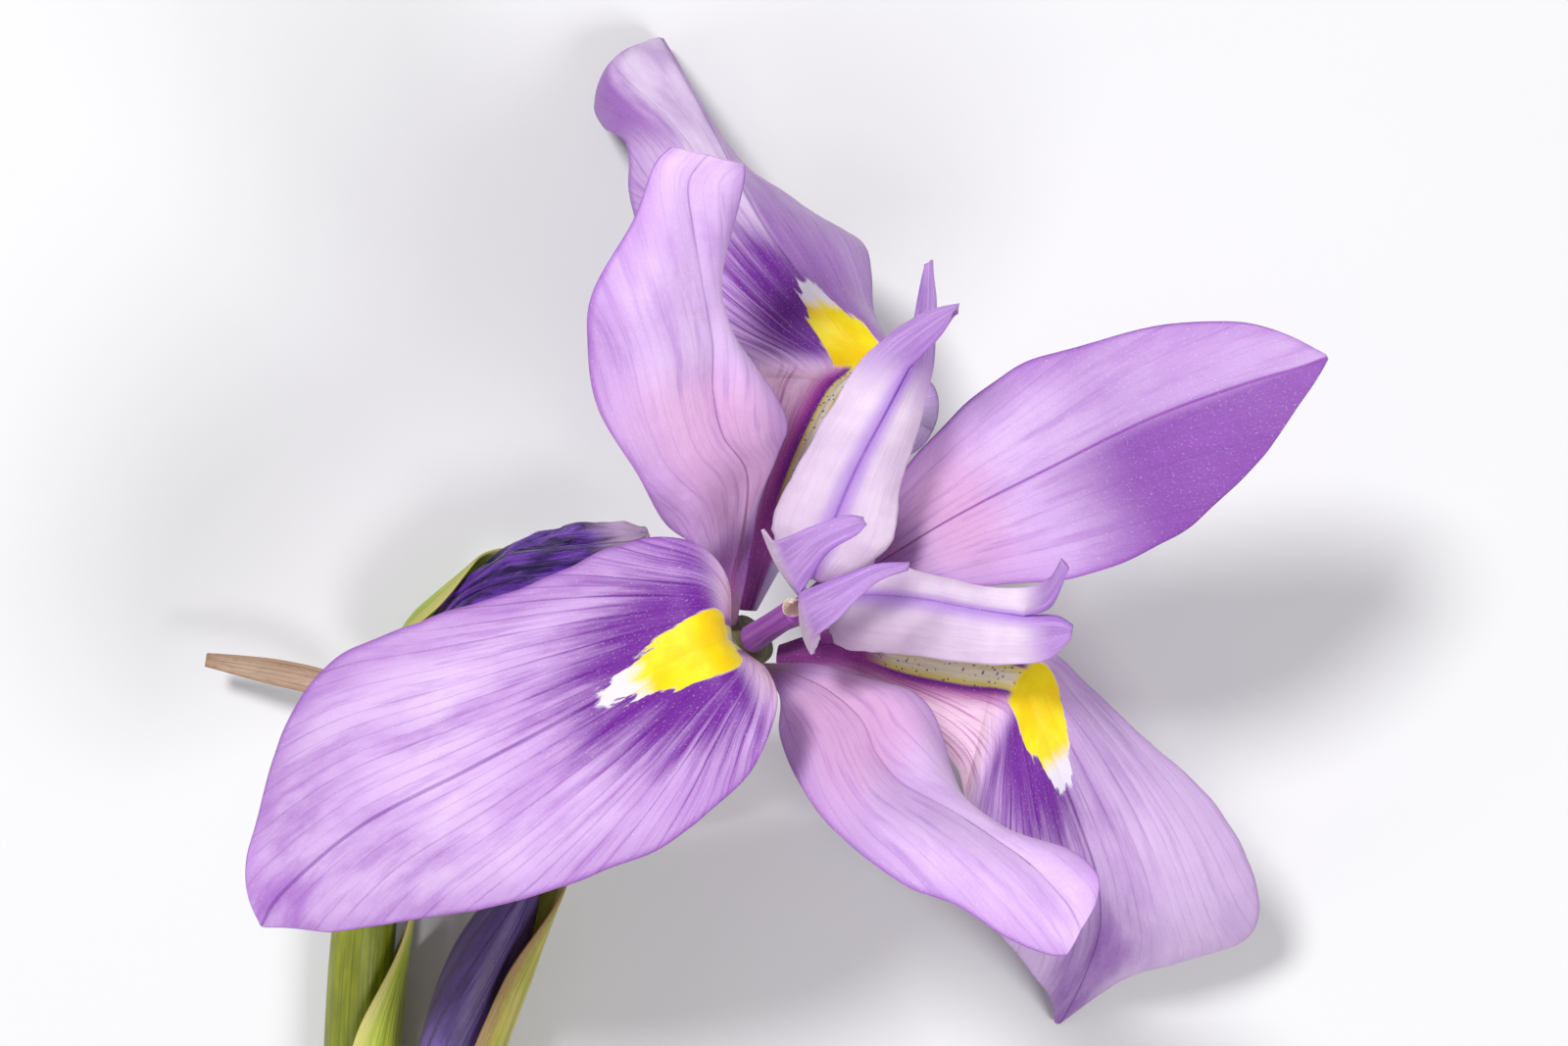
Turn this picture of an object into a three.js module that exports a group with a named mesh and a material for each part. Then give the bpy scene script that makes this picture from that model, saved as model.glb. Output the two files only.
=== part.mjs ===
// African iris: one cut flowering stem lying on its side, bloom facing up.
// Millimetres, +Z up, the surface it lies on is z = 0.
import * as THREE from 'three';

// ---- driving dimensions ----
const TEPAL_THICKNESS = 0.6;
const STYLE_THICKNESS = 0.6;
const BRACT_THICKNESS = 0.55;
const BASE = [-1.9, -6.6, 17.5]; // where the tepals leave the ovary
const RING_RADIUS = 1.75; // the six claws stand on this ring
const COLUMN_RADIUS = 0.72;
const COLUMN_LENGTH = 5.0;
const OVARY_RADIUS = 1.7;
const STEM_RADIUS = 2.0;
const ROWS_PER_STATION = 3;

// ---- flower axis and the two directions across it ----
const AXIS = new THREE.Vector3(0.503, 0.35, 0.79).normalize();
const ACROSS = new THREE.Vector3(-0.57, 0.82, 0).normalize();
const AWAY = new THREE.Vector3().crossVectors(ACROSS, AXIS).normalize();

const root = new THREE.Group();
root.name = 'african_iris';

function finish(colour, roughness) {
  return new THREE.MeshStandardMaterial({ color: colour, roughness, metalness: 0 });
}

const LILAC = finish(0xcdb2ea, 0.6);
const WHITE_LILAC = finish(0xe4daf2, 0.6);
const PURPLE = finish(0x8c4ba0, 0.6);
const BEIGE = finish(0xe1b9aa, 0.7);
const GREEN = finish(0x6f9020, 0.6);
const LEAF_GREEN = finish(0xa9bf3c, 0.6);
const BUD_PURPLE = finish(0x6a4aa0, 0.6);
const TAN = finish(0xbea08c, 0.8);
const WITHERED = finish(0x4a1c78, 0.8);

function add(name, geometry, material) {
  const mesh = new THREE.Mesh(geometry, material.clone());
  mesh.name = name;
  root.add(mesh);
}

// A point on the ring around the flower axis, turned by `degrees`, raised by `height`.
function ringPoint(degrees, radius, height) {
  const turn = THREE.MathUtils.degToRad(degrees);
  const p = new THREE.Vector3(...BASE);
  p.addScaledVector(AWAY, radius * Math.cos(turn));
  p.addScaledVector(ACROSS, radius * Math.sin(turn));
  p.addScaledVector(AXIS, height);
  return p.toArray();
}

// Turns a sheet of quads into a closed solid of even thickness.
function thicken(points, quads, thickness) {
  const indexOf = new Map();
  const vertices = [];
  const remap = points.map((p) => {
    const key = p.toArray().map((c) => Math.round(c * 1000)).join('_');
    if (!indexOf.has(key)) {
      indexOf.set(key, vertices.length);
      vertices.push(p);
    }
    return indexOf.get(key);
  });
  const faces = [];
  for (const [a, b, c, d] of quads) {
    for (const corner of [[a, b, c], [a, c, d]]) {
      const [i, j, k] = corner.map((n) => remap[n]);
      if (i !== j && j !== k && k !== i) faces.push([i, j, k]);
    }
  }
  const normals = vertices.map(() => new THREE.Vector3());
  const used = new Map();
  for (const face of faces) {
    const [i, j, k] = face;
    const e1 = new THREE.Vector3().subVectors(vertices[j], vertices[i]);
    const e2 = new THREE.Vector3().subVectors(vertices[k], vertices[i]);
    const n = e1.cross(e2);
    for (const v of face) normals[v].add(n);
    for (const [s, t] of [[i, j], [j, k], [k, i]]) used.set(`${s}_${t}`, [s, t]);
  }
  const position = [];
  const half = thickness / 2;
  for (const side of [half, -half]) {
    vertices.forEach((v, n) => {
      const q = v.clone().addScaledVector(normals[n].clone().normalize(), side);
      position.push(q.x, q.y, q.z);
    });
  }
  const count = vertices.length;
  const index = [];
  for (const [i, j, k] of faces) {
    index.push(i, j, k);
    index.push(count + i, count + k, count + j);
  }
  for (const [s, t] of used.values()) {
    if (used.has(`${t}_${s}`)) continue;
    index.push(t, s, count + s);
    index.push(t, count + s, count + t);
  }
  const geometry = new THREE.BufferGeometry();
  geometry.setAttribute('position', new THREE.Float32BufferAttribute(position, 3));
  geometry.setIndex(index);
  geometry.computeVertexNormals();
  return geometry;
}

// Smooth value at t (0..1) through evenly spaced numbers.
function through(values, t) {
  const last = values.length - 1;
  const x = Math.min(t * last, last - 1e-6);
  const i = Math.floor(x);
  const f = x - i;
  const p0 = values[Math.max(i - 1, 0)];
  const p1 = values[i];
  const p2 = values[i + 1];
  const p3 = values[Math.min(i + 2, last)];
  const m1 = (p2 - p0) / 2;
  const m2 = (p3 - p1) / 2;
  const a = 2 * p1 - 2 * p2 + m1 + m2;
  const b = -3 * p1 + 3 * p2 - 2 * m1 - m2;
  return ((a * f + b) * f + m1) * f + p1;
}

function pointThrough(list, t) {
  return new THREE.Vector3(
    through(list.map((p) => p[0]), t),
    through(list.map((p) => p[1]), t),
    through(list.map((p) => p[2]), t),
  );
}

// A petal-like blade. Each station: place on the midrib, half-width left and right,
// fold of each half away from the face (degrees), and extra curl by its margin (degrees).
// `faces` are the directions the upper side looks, evenly spaced along the midrib.
function blade({ stations, faces, thickness, across = 6, ripple = 0, waves = 3 }) {
  const rows = (stations.length - 1) * ROWS_PER_STATION;
  const points = [];
  for (let r = 0; r <= rows; r += 1) {
    const t = r / rows;
    const column = (n) => through(stations.map((s) => s[n]), t);
    const centre = pointThrough(stations, t);
    const ahead = pointThrough(stations, Math.min(t + 0.01, 1));
    const behind = pointThrough(stations, Math.max(t - 0.01, 0));
    const along = ahead.sub(behind).normalize();
    const face = pointThrough(faces, t);
    face.addScaledVector(along, -face.dot(along)).normalize();
    const right = new THREE.Vector3().crossVectors(along, face);
    for (let c = -across; c <= across; c += 1) {
      const side = Math.sign(c) || 1;
      const share = Math.abs(c) / across;
      const width = Math.max(side < 0 ? column(3) : column(4), 0.12);
      const fold = THREE.MathUtils.degToRad(side < 0 ? column(5) : column(6));
      const curl = THREE.MathUtils.degToRad(side < 0 ? column(7) : column(8));
      const p = centre.clone();
      const steps = 8;
      for (let k = 0; k < steps; k += 1) {
        const turn = fold + curl * share * (k + 0.5) / steps;
        const piece = width * share / steps;
        p.addScaledVector(right, side * Math.cos(turn) * piece);
        p.addScaledVector(face, -Math.sin(turn) * piece);
      }
      const lift = ripple * share * share * Math.sin(Math.PI * 2 * waves * t + side);
      p.addScaledVector(face, lift * Math.min(1, width / 3));
      points.push(p);
    }
  }
  const wide = across * 2 + 1;
  const quads = [];
  for (let r = 0; r < rows; r += 1) {
    for (let c = 0; c < wide - 1; c += 1) {
      const n = r * wide + c;
      quads.push([n, n + 1, n + wide + 1, n + wide]);
    }
  }
  return thicken(points, quads, thickness);
}

// A tepal hung on three lines: its midrib and its two margins. Each half swells out of
// the flat by its own amount.
function draped({ stations, thickness, across = 5 }) {
  const rows = (stations.length - 1) * ROWS_PER_STATION;
  const midrib = stations.map((s) => s.slice(0, 3));
  const margins = [stations.map((s) => s.slice(3, 6)), stations.map((s) => s.slice(6, 9))];
  const points = [];
  for (let r = 0; r <= rows; r += 1) {
    const t = r / rows;
    const centre = pointThrough(midrib, t);
    const along = pointThrough(midrib, Math.min(t + 0.01, 1));
    along.sub(pointThrough(midrib, Math.max(t - 0.01, 0))).normalize();
    for (let c = -across; c <= across; c += 1) {
      const half = c < 0 ? 0 : 1;
      const share = Math.abs(c) / across;
      const span = pointThrough(margins[half], t).sub(centre);
      const up = new THREE.Vector3().crossVectors(along, span).normalize();
      if (half === 1) up.negate();
      const swell = through(stations.map((s) => s[9 + half]), t);
      const p = centre.clone().addScaledVector(span, share);
      p.addScaledVector(up, swell * (1 - Math.abs(2 * share - 1) ** 1.6));
      points.push(p);
    }
  }
  const wide = across * 2 + 1;
  const quads = [];
  for (let r = 0; r < rows; r += 1) {
    for (let c = 0; c < wide - 1; c += 1) {
      const n = r * wide + c;
      quads.push([n, n + 1, n + wide + 1, n + wide]);
    }
  }
  return thicken(points, quads, thickness);
}

// A style branch: two strips that share the midline and part into two crests.
// `shared` runs up the middle; each half has an inner edge past the fork and an outer edge.
function forkedBlade({ shared, halves, thickness, belly = 0.5 }) {
  const points = [];
  const quads = [];
  const across = 4;
  const sharedRows = (shared.length - 1) * ROWS_PER_STATION;
  for (const half of halves) {
    const inner = shared.slice(-1).concat(half.inner);
    const rows = sharedRows + (inner.length - 1) * ROWS_PER_STATION;
    const first = points.length;
    for (let r = 0; r <= rows; r += 1) {
      const t = r / rows;
      const a = r <= sharedRows
        ? pointThrough(shared, r / sharedRows)
        : pointThrough(inner, (r - sharedRows) / (rows - sharedRows));
      const b = pointThrough(half.outer, t);
      const bulge = belly * Math.sin(Math.PI * Math.min(t * 1.6, 1));
      for (let c = 0; c <= across; c += 1) {
        const s = c / across;
        const p = a.clone().lerp(b, s);
        p.addScaledVector(new THREE.Vector3(...half.bow), bulge * Math.sin(Math.PI * s));
        points.push(p);
      }
    }
    const wide = across + 1;
    for (let r = 0; r < rows; r += 1) {
      for (let c = 0; c < across; c += 1) {
        const n = first + r * wide + c;
        const quad = [n, n + 1, n + wide + 1, n + wide];
        quads.push(half.flip ? quad.reverse() : quad);
      }
    }
  }
  return thicken(points, quads, thickness);
}

// A closed round stalk through stations of place and radius.
// `ridges` lobes run along it, `flat` squeezes it top to bottom.
function stalk({ stations, sides = 12, ridges = 0, depth = 0, flat = 1, twist = 0 }) {
  const rows = (stations.length - 1) * ROWS_PER_STATION;
  const position = [];
  let across = null;
  for (let r = 0; r <= rows; r += 1) {
    const t = r / rows;
    const centre = pointThrough(stations, t);
    const along = pointThrough(stations, Math.min(t + 0.01, 1));
    along.sub(pointThrough(stations, Math.max(t - 0.01, 0))).normalize();
    if (!across) across = new THREE.Vector3(0, 0, 1).cross(along).normalize();
    across.addScaledVector(along, -across.dot(along)).normalize();
    const up = new THREE.Vector3().crossVectors(along, across);
    const radius = Math.max(through(stations.map((s) => s[3]), t), 0.1);
    for (let c = 0; c < sides; c += 1) {
      const turn = Math.PI * 2 * c / sides + twist * t;
      const reach = radius * (1 + depth * Math.cos(ridges * Math.PI * 2 * c / sides));
      const p = centre.clone();
      p.addScaledVector(across, reach * Math.cos(turn));
      p.addScaledVector(up, flat * reach * Math.sin(turn));
      position.push(p.x, p.y, p.z);
    }
  }
  const index = [];
  for (let r = 0; r < rows; r += 1) {
    for (let c = 0; c < sides; c += 1) {
      const n = r * sides + c;
      const m = r * sides + (c + 1) % sides;
      index.push(n, m, m + sides);
      index.push(n, m + sides, n + sides);
    }
  }
  for (const [row, flip] of [[0, true], [rows, false]]) {
    const centre = pointThrough(stations, row / rows);
    const hub = position.length / 3;
    position.push(centre.x, centre.y, centre.z);
    for (let c = 0; c < sides; c += 1) {
      const n = row * sides + c;
      const m = row * sides + (c + 1) % sides;
      if (flip) index.push(hub, m, n);
      else index.push(hub, n, m);
    }
  }
  const geometry = new THREE.BufferGeometry();
  geometry.setAttribute('position', new THREE.Float32BufferAttribute(position, 3));
  geometry.setIndex(index);
  geometry.computeVertexNormals();
  return geometry;
}

// ---- outer tepals: narrow claw, then a broad limb that bends down ----
// columns: x, y, z, half-width left, right, fold left, right, curl left, right
const OUTER_TEPALS = [
  {
    name: 'outer_tepal_left',
    faces: [[0.82, 0.57, 0.04], [0.82, 0.57, 0.04], [0.6, 0.4, 0.6], [-0.2, 0, 1],
      [-0.2, 0, 1], [-0.2, 0, 1], [-0.25, -0.1, 1], [-0.3, -0.1, 1], [-0.4, -0.2, 1]],
    stations: [
      [...ringPoint(180, RING_RADIUS, 0.3), 0.6, 0.6, -5, -5, 0, 0],
      [-3.2, -7.3, 24.5, 1.0, 1.0, -15, -15, -10, -10],
      [-2.9, -6.4, 31.5, 2.2, 2.2, -20, -20, -20, -20],
      [-3.6, -6.2, 35.2, 6.0, 5.7, -8, -8, 10, 10],
      [-6.4, -7.5, 35.6, 7.7, 7.1, 6, 6, 20, 20],
      [-11.2, -10.1, 33.7, 8.4, 7.6, 6, 8, 16, 22],
      [-16.6, -13.0, 31.0, 7.8, 8.6, 6, 8, 14, 22],
      [-22.6, -16.2, 27.2, 6.4, 8.2, 5, 8, 14, 18],
      [-27.2, -20.0, 23.5, 3.2, 2.9, 4, 6, 8, 10],
      [-28.7, -22.1, 22.0, 0.2, 0.2, 0, 0, 0, 0],
    ],
    ripple: 0.35,
  },
];

// ---- inner tepals: narrow base, plain rising blade ----
const INNER_TEPALS = [
  {
    name: 'inner_tepal_right',
    faces: [[-0.5, -0.35, 0.8], [-0.3, -0.2, 0.9], [-0.1, 0, 1], [0, 0, 1], [0, 0, 1]],
    stations: [
      [...ringPoint(0, RING_RADIUS, 0.3), 0.6, 0.6, 0, 0, 0, 0],
      [2.2, -4.2, 18.6, 1.0, 1.0, -10, -10, -20, -20],
      [6.0, -1.7, 20.6, 2.2, 2.4, -10, -10, -20, -20],
      [10.0, 0.7, 23.2, 4.3, 4.5, -8, -8, -16, -16],
      [14.6, 3.1, 26.4, 5.6, 6.2, -6, -6, 6, 6],
      [19.6, 5.6, 29.0, 4.8, 6.0, -6, -4, 14, 14],
      [24.2, 7.3, 30.4, 3.4, 4.0, -6, -4, 14, 14],
      [27.2, 8.2, 30.6, 1.9, 1.8, -4, -4, 8, 8],
      [28.7, 8.8, 30.6, 0.2, 0.2, 0, 0, 0, 0],
    ],
    ripple: 0.25,
  },
];

for (const tepal of OUTER_TEPALS.concat(INNER_TEPALS)) {
  const geometry = blade({ ...tepal, thickness: TEPAL_THICKNESS });
  add(tepal.name, geometry, LILAC);
}

// ---- tepals with a strong fold, given by their midrib and both margins ----
// columns: midrib x, y, z, left margin x, y, z, right margin x, y, z, swell left, right
const FOLDED_TEPALS = [
  {
    name: 'outer_tepal_upper',
    stations: [
      [-2.05, -4.86, 17.2, -2.55, -4.83, 17.5, -1.55, -4.9, 16.9, 0, 0],
      [-0.8, -0.9, 18.5, -2.6, -0.9, 19.6, 0.7, -1.1, 17.8, -0.1, -0.1],
      [0.8, 3.4, 20.5, -2.6, 3.4, 22, 3.6, 2.4, 20.4, -0.3, -0.3],
      [2.7, 7.1, 23, -2.7, 7.4, 23.6, 7.6, 4.2, 21.8, -0.3, -0.3],
      [4.2, 8.8, 24.3, -2.9, 9.1, 23.4, 8.4, 7.2, 22.8, 0.1, 0.2],
      [3, 10.6, 24.4, -5.4, 11, 21.6, 6, 9.9, 22.8, 0.4, 0.5],
      [1.2, 12.9, 23.4, -7.3, 14, 19, 4.9, 11.7, 19.4, 0.6, 0.5],
      [-0.5, 15.3, 21.5, -8.3, 16.9, 16.6, 4.7, 15.6, 14.2, 0.7, 0.7],
      [-2.1, 18.2, 18.5, -8.8, 18.9, 14, 2, 17.4, 10.2, 0.7, 0.7],
      [-3.3, 20.7, 14.8, -9, 21.7, 10.8, -2.3, 19.7, 6.4, 0.7, 0.5],
      [-5, 24.3, 9.5, -10.7, 23.4, 4.6, -5.6, 24.3, 3, 1.7, 0.4],
      [-6.5, 27.2, 5.6, -11.3, 25.4, 1.8, -6.9, 27, 0.9, 1.6, 0.2],
      [-7.3, 28.8, 2.4, -8.8, 28, 1.4, -7.3, 28.6, 0.3, 0.2, 0],
    ],
  },
  {
    name: 'outer_tepal_lower_right',
    stations: [
      [-0.32, -7.34, 17.2, -0.22, -6.87, 16.86, -0.42, -7.81, 17.54, 0, 0],
      [3, -6.7, 19.2, 3.3, -5.7, 19.7, 3, -9, 20.2, -0.1, -0.1],
      [6.8, -7.6, 21.2, 7.3, -5.9, 21.6, 7, -11, 22.2, -0.2, -0.3],
      [9.9, -8.1, 22.8, 10.8, -6.1, 23, 9.4, -13.4, 22.6, -0.2, -0.5],
      [13, -8.7, 24, 14.6, -7, 23.2, 10, -16.2, 21.6, 0, -0.3],
      [14, -11.1, 23.8, 16.8, -9, 21.8, 10.2, -18.4, 20.4, 0.4, 0.3],
      [15.3, -14.2, 22.2, 19.9, -11.8, 18.8, 10.8, -20.3, 18.8, 0.8, 0.8],
      [16.6, -17.2, 19.3, 24.4, -16, 14.6, 11.9, -22.5, 15, 1, 1],
      [17.7, -20.3, 15.5, 27.3, -21, 10, 13, -24.4, 11.2, 1, 0.9],
      [18.1, -23.5, 10.5, 27, -24.6, 6.2, 14.6, -26.6, 7.2, 0.8, 0.6],
      [17.5, -26.8, 5.6, 21.2, -26.6, 2.6, 15.8, -28.2, 3.8, 0.3, 0.3],
      [16.5, -29.9, 0.4, 16.8, -29.7, 0.3, 16.2, -29.9, 0.4, 0, 0],
    ],
  },
  {
    name: 'inner_tepal_upper_left',
    stations: [
      [-3.18, -5.65, 18.27, -3.69, -5.73, 18.46, -2.67, -5.57, 18.08, 0, 0],
      [-2.8, -3, 21.2, -3.6, -2.9, 21.6, -2.1, -3.1, 20.9, -0.1, -0.1],
      [-2.2, 0.3, 24.5, -4.4, -1.5, 25.2, -1.4, 0.9, 23.7, -0.2, -0.1],
      [-2.1, 2.9, 27.2, -6.3, -0.1, 28.2, -0.5, 3.5, 25.8, 0, 0.4],
      [-3.3, 4.7, 29.5, -7.9, 2.8, 31.2, 0.25, 5.2, 27.2, 0.6, 0.7],
      [-3.8, 6.9, 31.5, -9.7, 6, 34, -0.5, 6.8, 29.2, 0.9, 0.9],
      [-3.8, 9.4, 33.5, -10.2, 9.3, 36, -2.4, 9.3, 31.6, 1, 0.6],
      [-4.2, 11.9, 35.4, -9.9, 11.8, 37.4, -3.3, 12.1, 33.6, 0.9, 0.4],
      [-4.7, 15, 37.4, -7.8, 15.3, 38.4, -2.7, 15.3, 36.2, 0.5, 0.4],
      [-4.9, 17.4, 38.6, -6.7, 18.2, 39, -2.05, 17.5, 38, 0.3, 0.2],
      [-3.9, 18.8, 39, -5.8, 19.2, 39, -2, 18.3, 38.7, 0.1, 0.1],
    ],
  },
  {
    name: 'inner_tepal_lower',
    stations: [
      [-1.45, -8.13, 18.27, -0.97, -7.86, 18.03, -1.93, -8.4, 18.51, 0, 0],
      [0.8, -8.5, 22.5, 1.9, -7.8, 22.2, -0.3, -9.3, 22.9, 0, 0.1],
      [2.6, -9.3, 25.5, 4.6, -8.4, 24.8, -0.2, -11.2, 26.4, 0.4, 0.4],
      [4.2, -10.7, 28, 6.7, -9, 26.6, 0.6, -13.4, 29.6, 0.8, 0.6],
      [4.9, -12.3, 30, 8.1, -10.6, 28, 2, -15.4, 32.6, 1.1, 0.9],
      [6, -13.6, 32, 9, -13, 30.2, 4.1, -17.3, 35, 1, 1],
      [8, -14.7, 34, 9.8, -14.8, 33.2, 6.3, -18.7, 37, 0.5, 1],
      [10.2, -16, 35.9, 11.8, -16.2, 35.4, 8.7, -19.5, 38.2, 0.3, 0.9],
      [12.6, -17.6, 37.4, 14.7, -16.9, 37, 11.3, -21.2, 38.6, 0.2, 0.7],
      [14.4, -19.4, 38.4, 16.1, -18.1, 38, 13.5, -22.1, 38.6, 0.1, 0.3],
      [15.2, -20.8, 38.6, 16, -19.5, 38.4, 14.5, -22.1, 38.5, 0, 0],
    ],
  },
];

for (const { name, stations } of FOLDED_TEPALS) {
  add(name, draped({ stations, thickness: TEPAL_THICKNESS }), LILAC);
}

// ---- filament column and the three style branches above it ----
add('filament_column', stalk({
  stations: [
    [...ringPoint(0, 0, 0.3), COLUMN_RADIUS * 1.1],
    [...ringPoint(0, 0, COLUMN_LENGTH / 2), COLUMN_RADIUS],
    [...ringPoint(0, 0, COLUMN_LENGTH), COLUMN_RADIUS],
  ],
}), PURPLE);

add('style_branch_upper', forkedBlade({
  shared: [[1.6, -3.0, 23.2], [2.4, -0.6, 25.8], [3.8, 2.8, 28.4], [5.4, 5.9, 30.8],
    [6.6, 8.2, 32.6]],
  halves: [
    {
      inner: [[8.2, 9.8, 34.2], [8.9, 10.9, 35.2]],
      outer: [[0.5, -2.4, 23.2], [-0.6, 0.0, 25.0], [1.2, 3.9, 27.6], [2.9, 6.8, 30.0],
        [4.7, 9.2, 32.4], [7.0, 10.8, 34.4], [9.1, 11.4, 35.4]],
      bow: [-0.3, 0.1, 0.9],
      flip: true,
    },
    {
      inner: [[6.9, 10.6, 32.2], [7.4, 13.6, 31.8]],
      outer: [[2.6, -3.3, 22.8], [5.6, -1.4, 25.0], [6.3, 2.2, 27.0], [7.2, 5.3, 29.2],
        [7.8, 8.0, 30.8], [8.0, 11.0, 31.4], [7.9, 13.9, 31.8]],
      bow: [0.3, -0.1, 0.9],
    },
  ],
  thickness: STYLE_THICKNESS,
}), WHITE_LILAC);

add('style_branch_right', forkedBlade({
  shared: [[2.9, -4.3, 23.2], [4.6, -3.9, 25.2], [7.2, -4.0, 27.6], [10.2, -4.5, 29.8],
    [12.8, -4.9, 31.2]],
  halves: [
    {
      inner: [[14.0, -4.4, 32.6], [14.9, -2.4, 33.8]],
      outer: [[2.6, -4.0, 23.4], [5.3, -2.3, 25.2], [7.8, -2.8, 27.6], [10.4, -3.3, 30.0],
        [12.9, -3.4, 31.6], [14.0, -2.9, 33.0], [14.5, -1.9, 34.0]],
      bow: [0, 0.2, 0.9],
      flip: true,
    },
    {
      inner: [[14.3, -4.9, 32.0], [15.2, -5.4, 32.2]],
      outer: [[2.5, -5.1, 22.8], [3.2, -6.7, 24.2], [6.8, -7.1, 26.6], [10.2, -7.5, 28.6],
        [12.9, -7.5, 30.2], [14.3, -7.0, 31.4], [15.1, -6.2, 32.0]],
      bow: [0, -0.2, 0.9],
    },
  ],
  thickness: STYLE_THICKNESS,
}), WHITE_LILAC);

add('style_branch_left', forkedBlade({
  shared: [[1.5, -4.4, 23.4], [1.3, -4.2, 27.0], [1.0, -3.9, 30.4], [0.9, -3.6, 34.0]],
  halves: [
    {
      inner: [[2.2, -1.6, 35.8], [3.8, -0.6, 36.4], [4.2, 0.0, 36.4]],
      outer: [[1.0, -3.4, 23.2], [-0.3, -1.6, 26.8], [-1.1, -0.3, 29.8], [-0.5, -0.9, 33.6],
        [1.4, -0.2, 35.6], [3.2, 0.4, 36.4], [4.1, 0.3, 36.6]],
      bow: [-0.7, -0.4, 0.1],
    },
    {
      inner: [[2.8, -2.8, 35.6], [4.8, -2.1, 36.2], [6.5, -2.1, 36.2]],
      outer: [[1.9, -5.2, 23.2], [1.9, -6.2, 26.8], [1.5, -7.0, 29.8], [1.6, -6.1, 33.6],
        [3.1, -4.7, 35.4], [4.8, -3.1, 36.2], [6.4, -2.4, 36.4]],
      bow: [-0.7, -0.4, 0.1],
      flip: true,
    },
  ],
  thickness: STYLE_THICKNESS,
  belly: 0.3,
}), WHITE_LILAC);

// ---- anthers: slender, pressed under each style branch ----
const ANTHERS = {
  anther_upper: [[1.5, -2.2, 21.6], [2.3, 0.3, 23.6], [3.6, 3.4, 26.0], [4.4, 5.0, 27.2]],
  anther_right: [[3.0, -4.9, 21.4], [5.4, -5.0, 23.8], [8.2, -5.2, 25.9], [9.8, -5.4, 27.0]],
  anther_left: [[0.45, -4.9, 22.6], [0.45, -4.7, 24.4], [0.45, -4.4, 26.6], [0.4, -4.2, 28.6]],
};
for (const [name, places] of Object.entries(ANTHERS)) {
  const radii = [0.25, 0.45, 0.4, 0.15];
  const stations = places.map((p, n) => [...p, radii[n]]);
  add(name, stalk({ stations, sides: 8 }), BEIGE);
}

// ---- ovary with its pedicel, partly wrapped in the spathe ----
add('ovary', stalk({
  stations: [
    [-19.9, -12.1, 4.8, 0.9],
    [-15.0, -12.2, 5.8, 0.95],
    [-10.4, -11.6, 8.0, 1.1],
    [...ringPoint(0, 0, -7.0), 1.45],
    [...ringPoint(0, 0, -3.6), OVARY_RADIUS],
    [...ringPoint(0, 0, -0.2), 1.5],
  ],
  ridges: 3,
  depth: 0.06,
}), GREEN);

add('spathe', blade({
  stations: [
    [-19.4, -12.2, 3.0, 2.6, 2.6, 0, 0, -72, -72],
    [-15.0, -12.4, 3.6, 4.2, 4.2, 0, 0, -115, -115],
    [-10.0, -12.0, 5.8, 4.4, 4.4, 0, 0, -120, -120],
    [-6.2, -10.6, 8.9, 3.4, 3.4, 0, 0, -84, -84],
    [-3.2, -9.8, 11.4, 0.2, 0.2, 0, 0, 0, 0],
  ],
  faces: [[0, 0, 1], [0, 0, 1], [-0.1, 0.1, 1], [-0.35, 0.25, 0.8], [-0.5, 0.3, 0.6]],
  thickness: BRACT_THICKNESS,
}), LEAF_GREEN);

// ---- stem, lying down and cut square at its lower end ----
add('stem', stalk({
  stations: [
    [-26.5, -62.0, 2.75, STEM_RADIUS],
    [-26.0, -50.0, 2.75, STEM_RADIUS],
    [-25.6, -38.0, 2.75, STEM_RADIUS],
    [-25.1, -26.0, 2.9, 1.9],
    [-24.0, -17.0, 3.3, 1.8],
    [-22.7, -12.9, 3.9, 1.5],
    [-20.6, -12.1, 4.6, 0.9],
  ],
  sides: 14,
}), GREEN);

add('sheath_leaf', blade({
  stations: [
    [-23.9, -58.0, 2.75, 4.6, 4.6, 0, 0, -108, -108],
    [-23.55, -50.0, 2.75, 4.8, 4.8, 0, 0, -112, -112],
    [-23.2, -40.0, 2.75, 4.8, 4.8, 0, 0, -112, -112],
    [-22.9, -32.0, 2.8, 4.2, 4.2, 0, 0, -98, -98],
    [-22.5, -27.0, 3.2, 2.6, 2.6, 0, 0, -55, -55],
    [-21.8, -22.0, 4.2, 0.2, 0.2, 0, 0, 0, 0],
  ],
  faces: [[-1, 0, 0], [-1, 0, 0], [-1, 0, 0]],
  thickness: BRACT_THICKNESS,
}), LEAF_GREEN);

// ---- bud on its side branch, half wrapped in a papery-edged spathe ----
add('bud', stalk({
  stations: [
    [-21.4, -44.2, 4.6, 0.5],
    [-21.0, -41.4, 5.0, 1.0],
    [-20.6, -37.0, 5.4, 1.8],
    [-19.4, -31.0, 5.8, 2.3],
    [-17.6, -26.0, 6.2, 2.2],
    [-15.4, -21.5, 6.6, 1.2],
    [-14.2, -19.0, 6.8, 0.15],
  ],
  ridges: 3,
  depth: 0.08,
  twist: 2,
}), BUD_PURPLE);

add('bud_spathe', blade({
  stations: [
    [-21.5, -46.2, 3.6, 0.9, 0.9, 0, 0, -40, -40],
    [-18.3, -37.0, 3.8, 4.2, 4.2, 0, 0, -80, -80],
    [-16.9, -31.0, 4.2, 4.9, 4.9, 0, 0, -94, -94],
    [-15.1, -26.0, 4.8, 4.4, 4.4, 0, 0, -85, -85],
    [-13.4, -21.5, 5.8, 2.3, 2.3, 0, 0, -44, -44],
    [-12.4, -19.0, 6.4, 0.2, 0.2, 0, 0, 0, 0],
  ],
  faces: [[-0.8, 0.2, 0.5], [-0.8, 0.2, 0.5], [-0.8, 0.2, 0.5]],
  thickness: BRACT_THICKNESS,
}), LEAF_GREEN);

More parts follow.
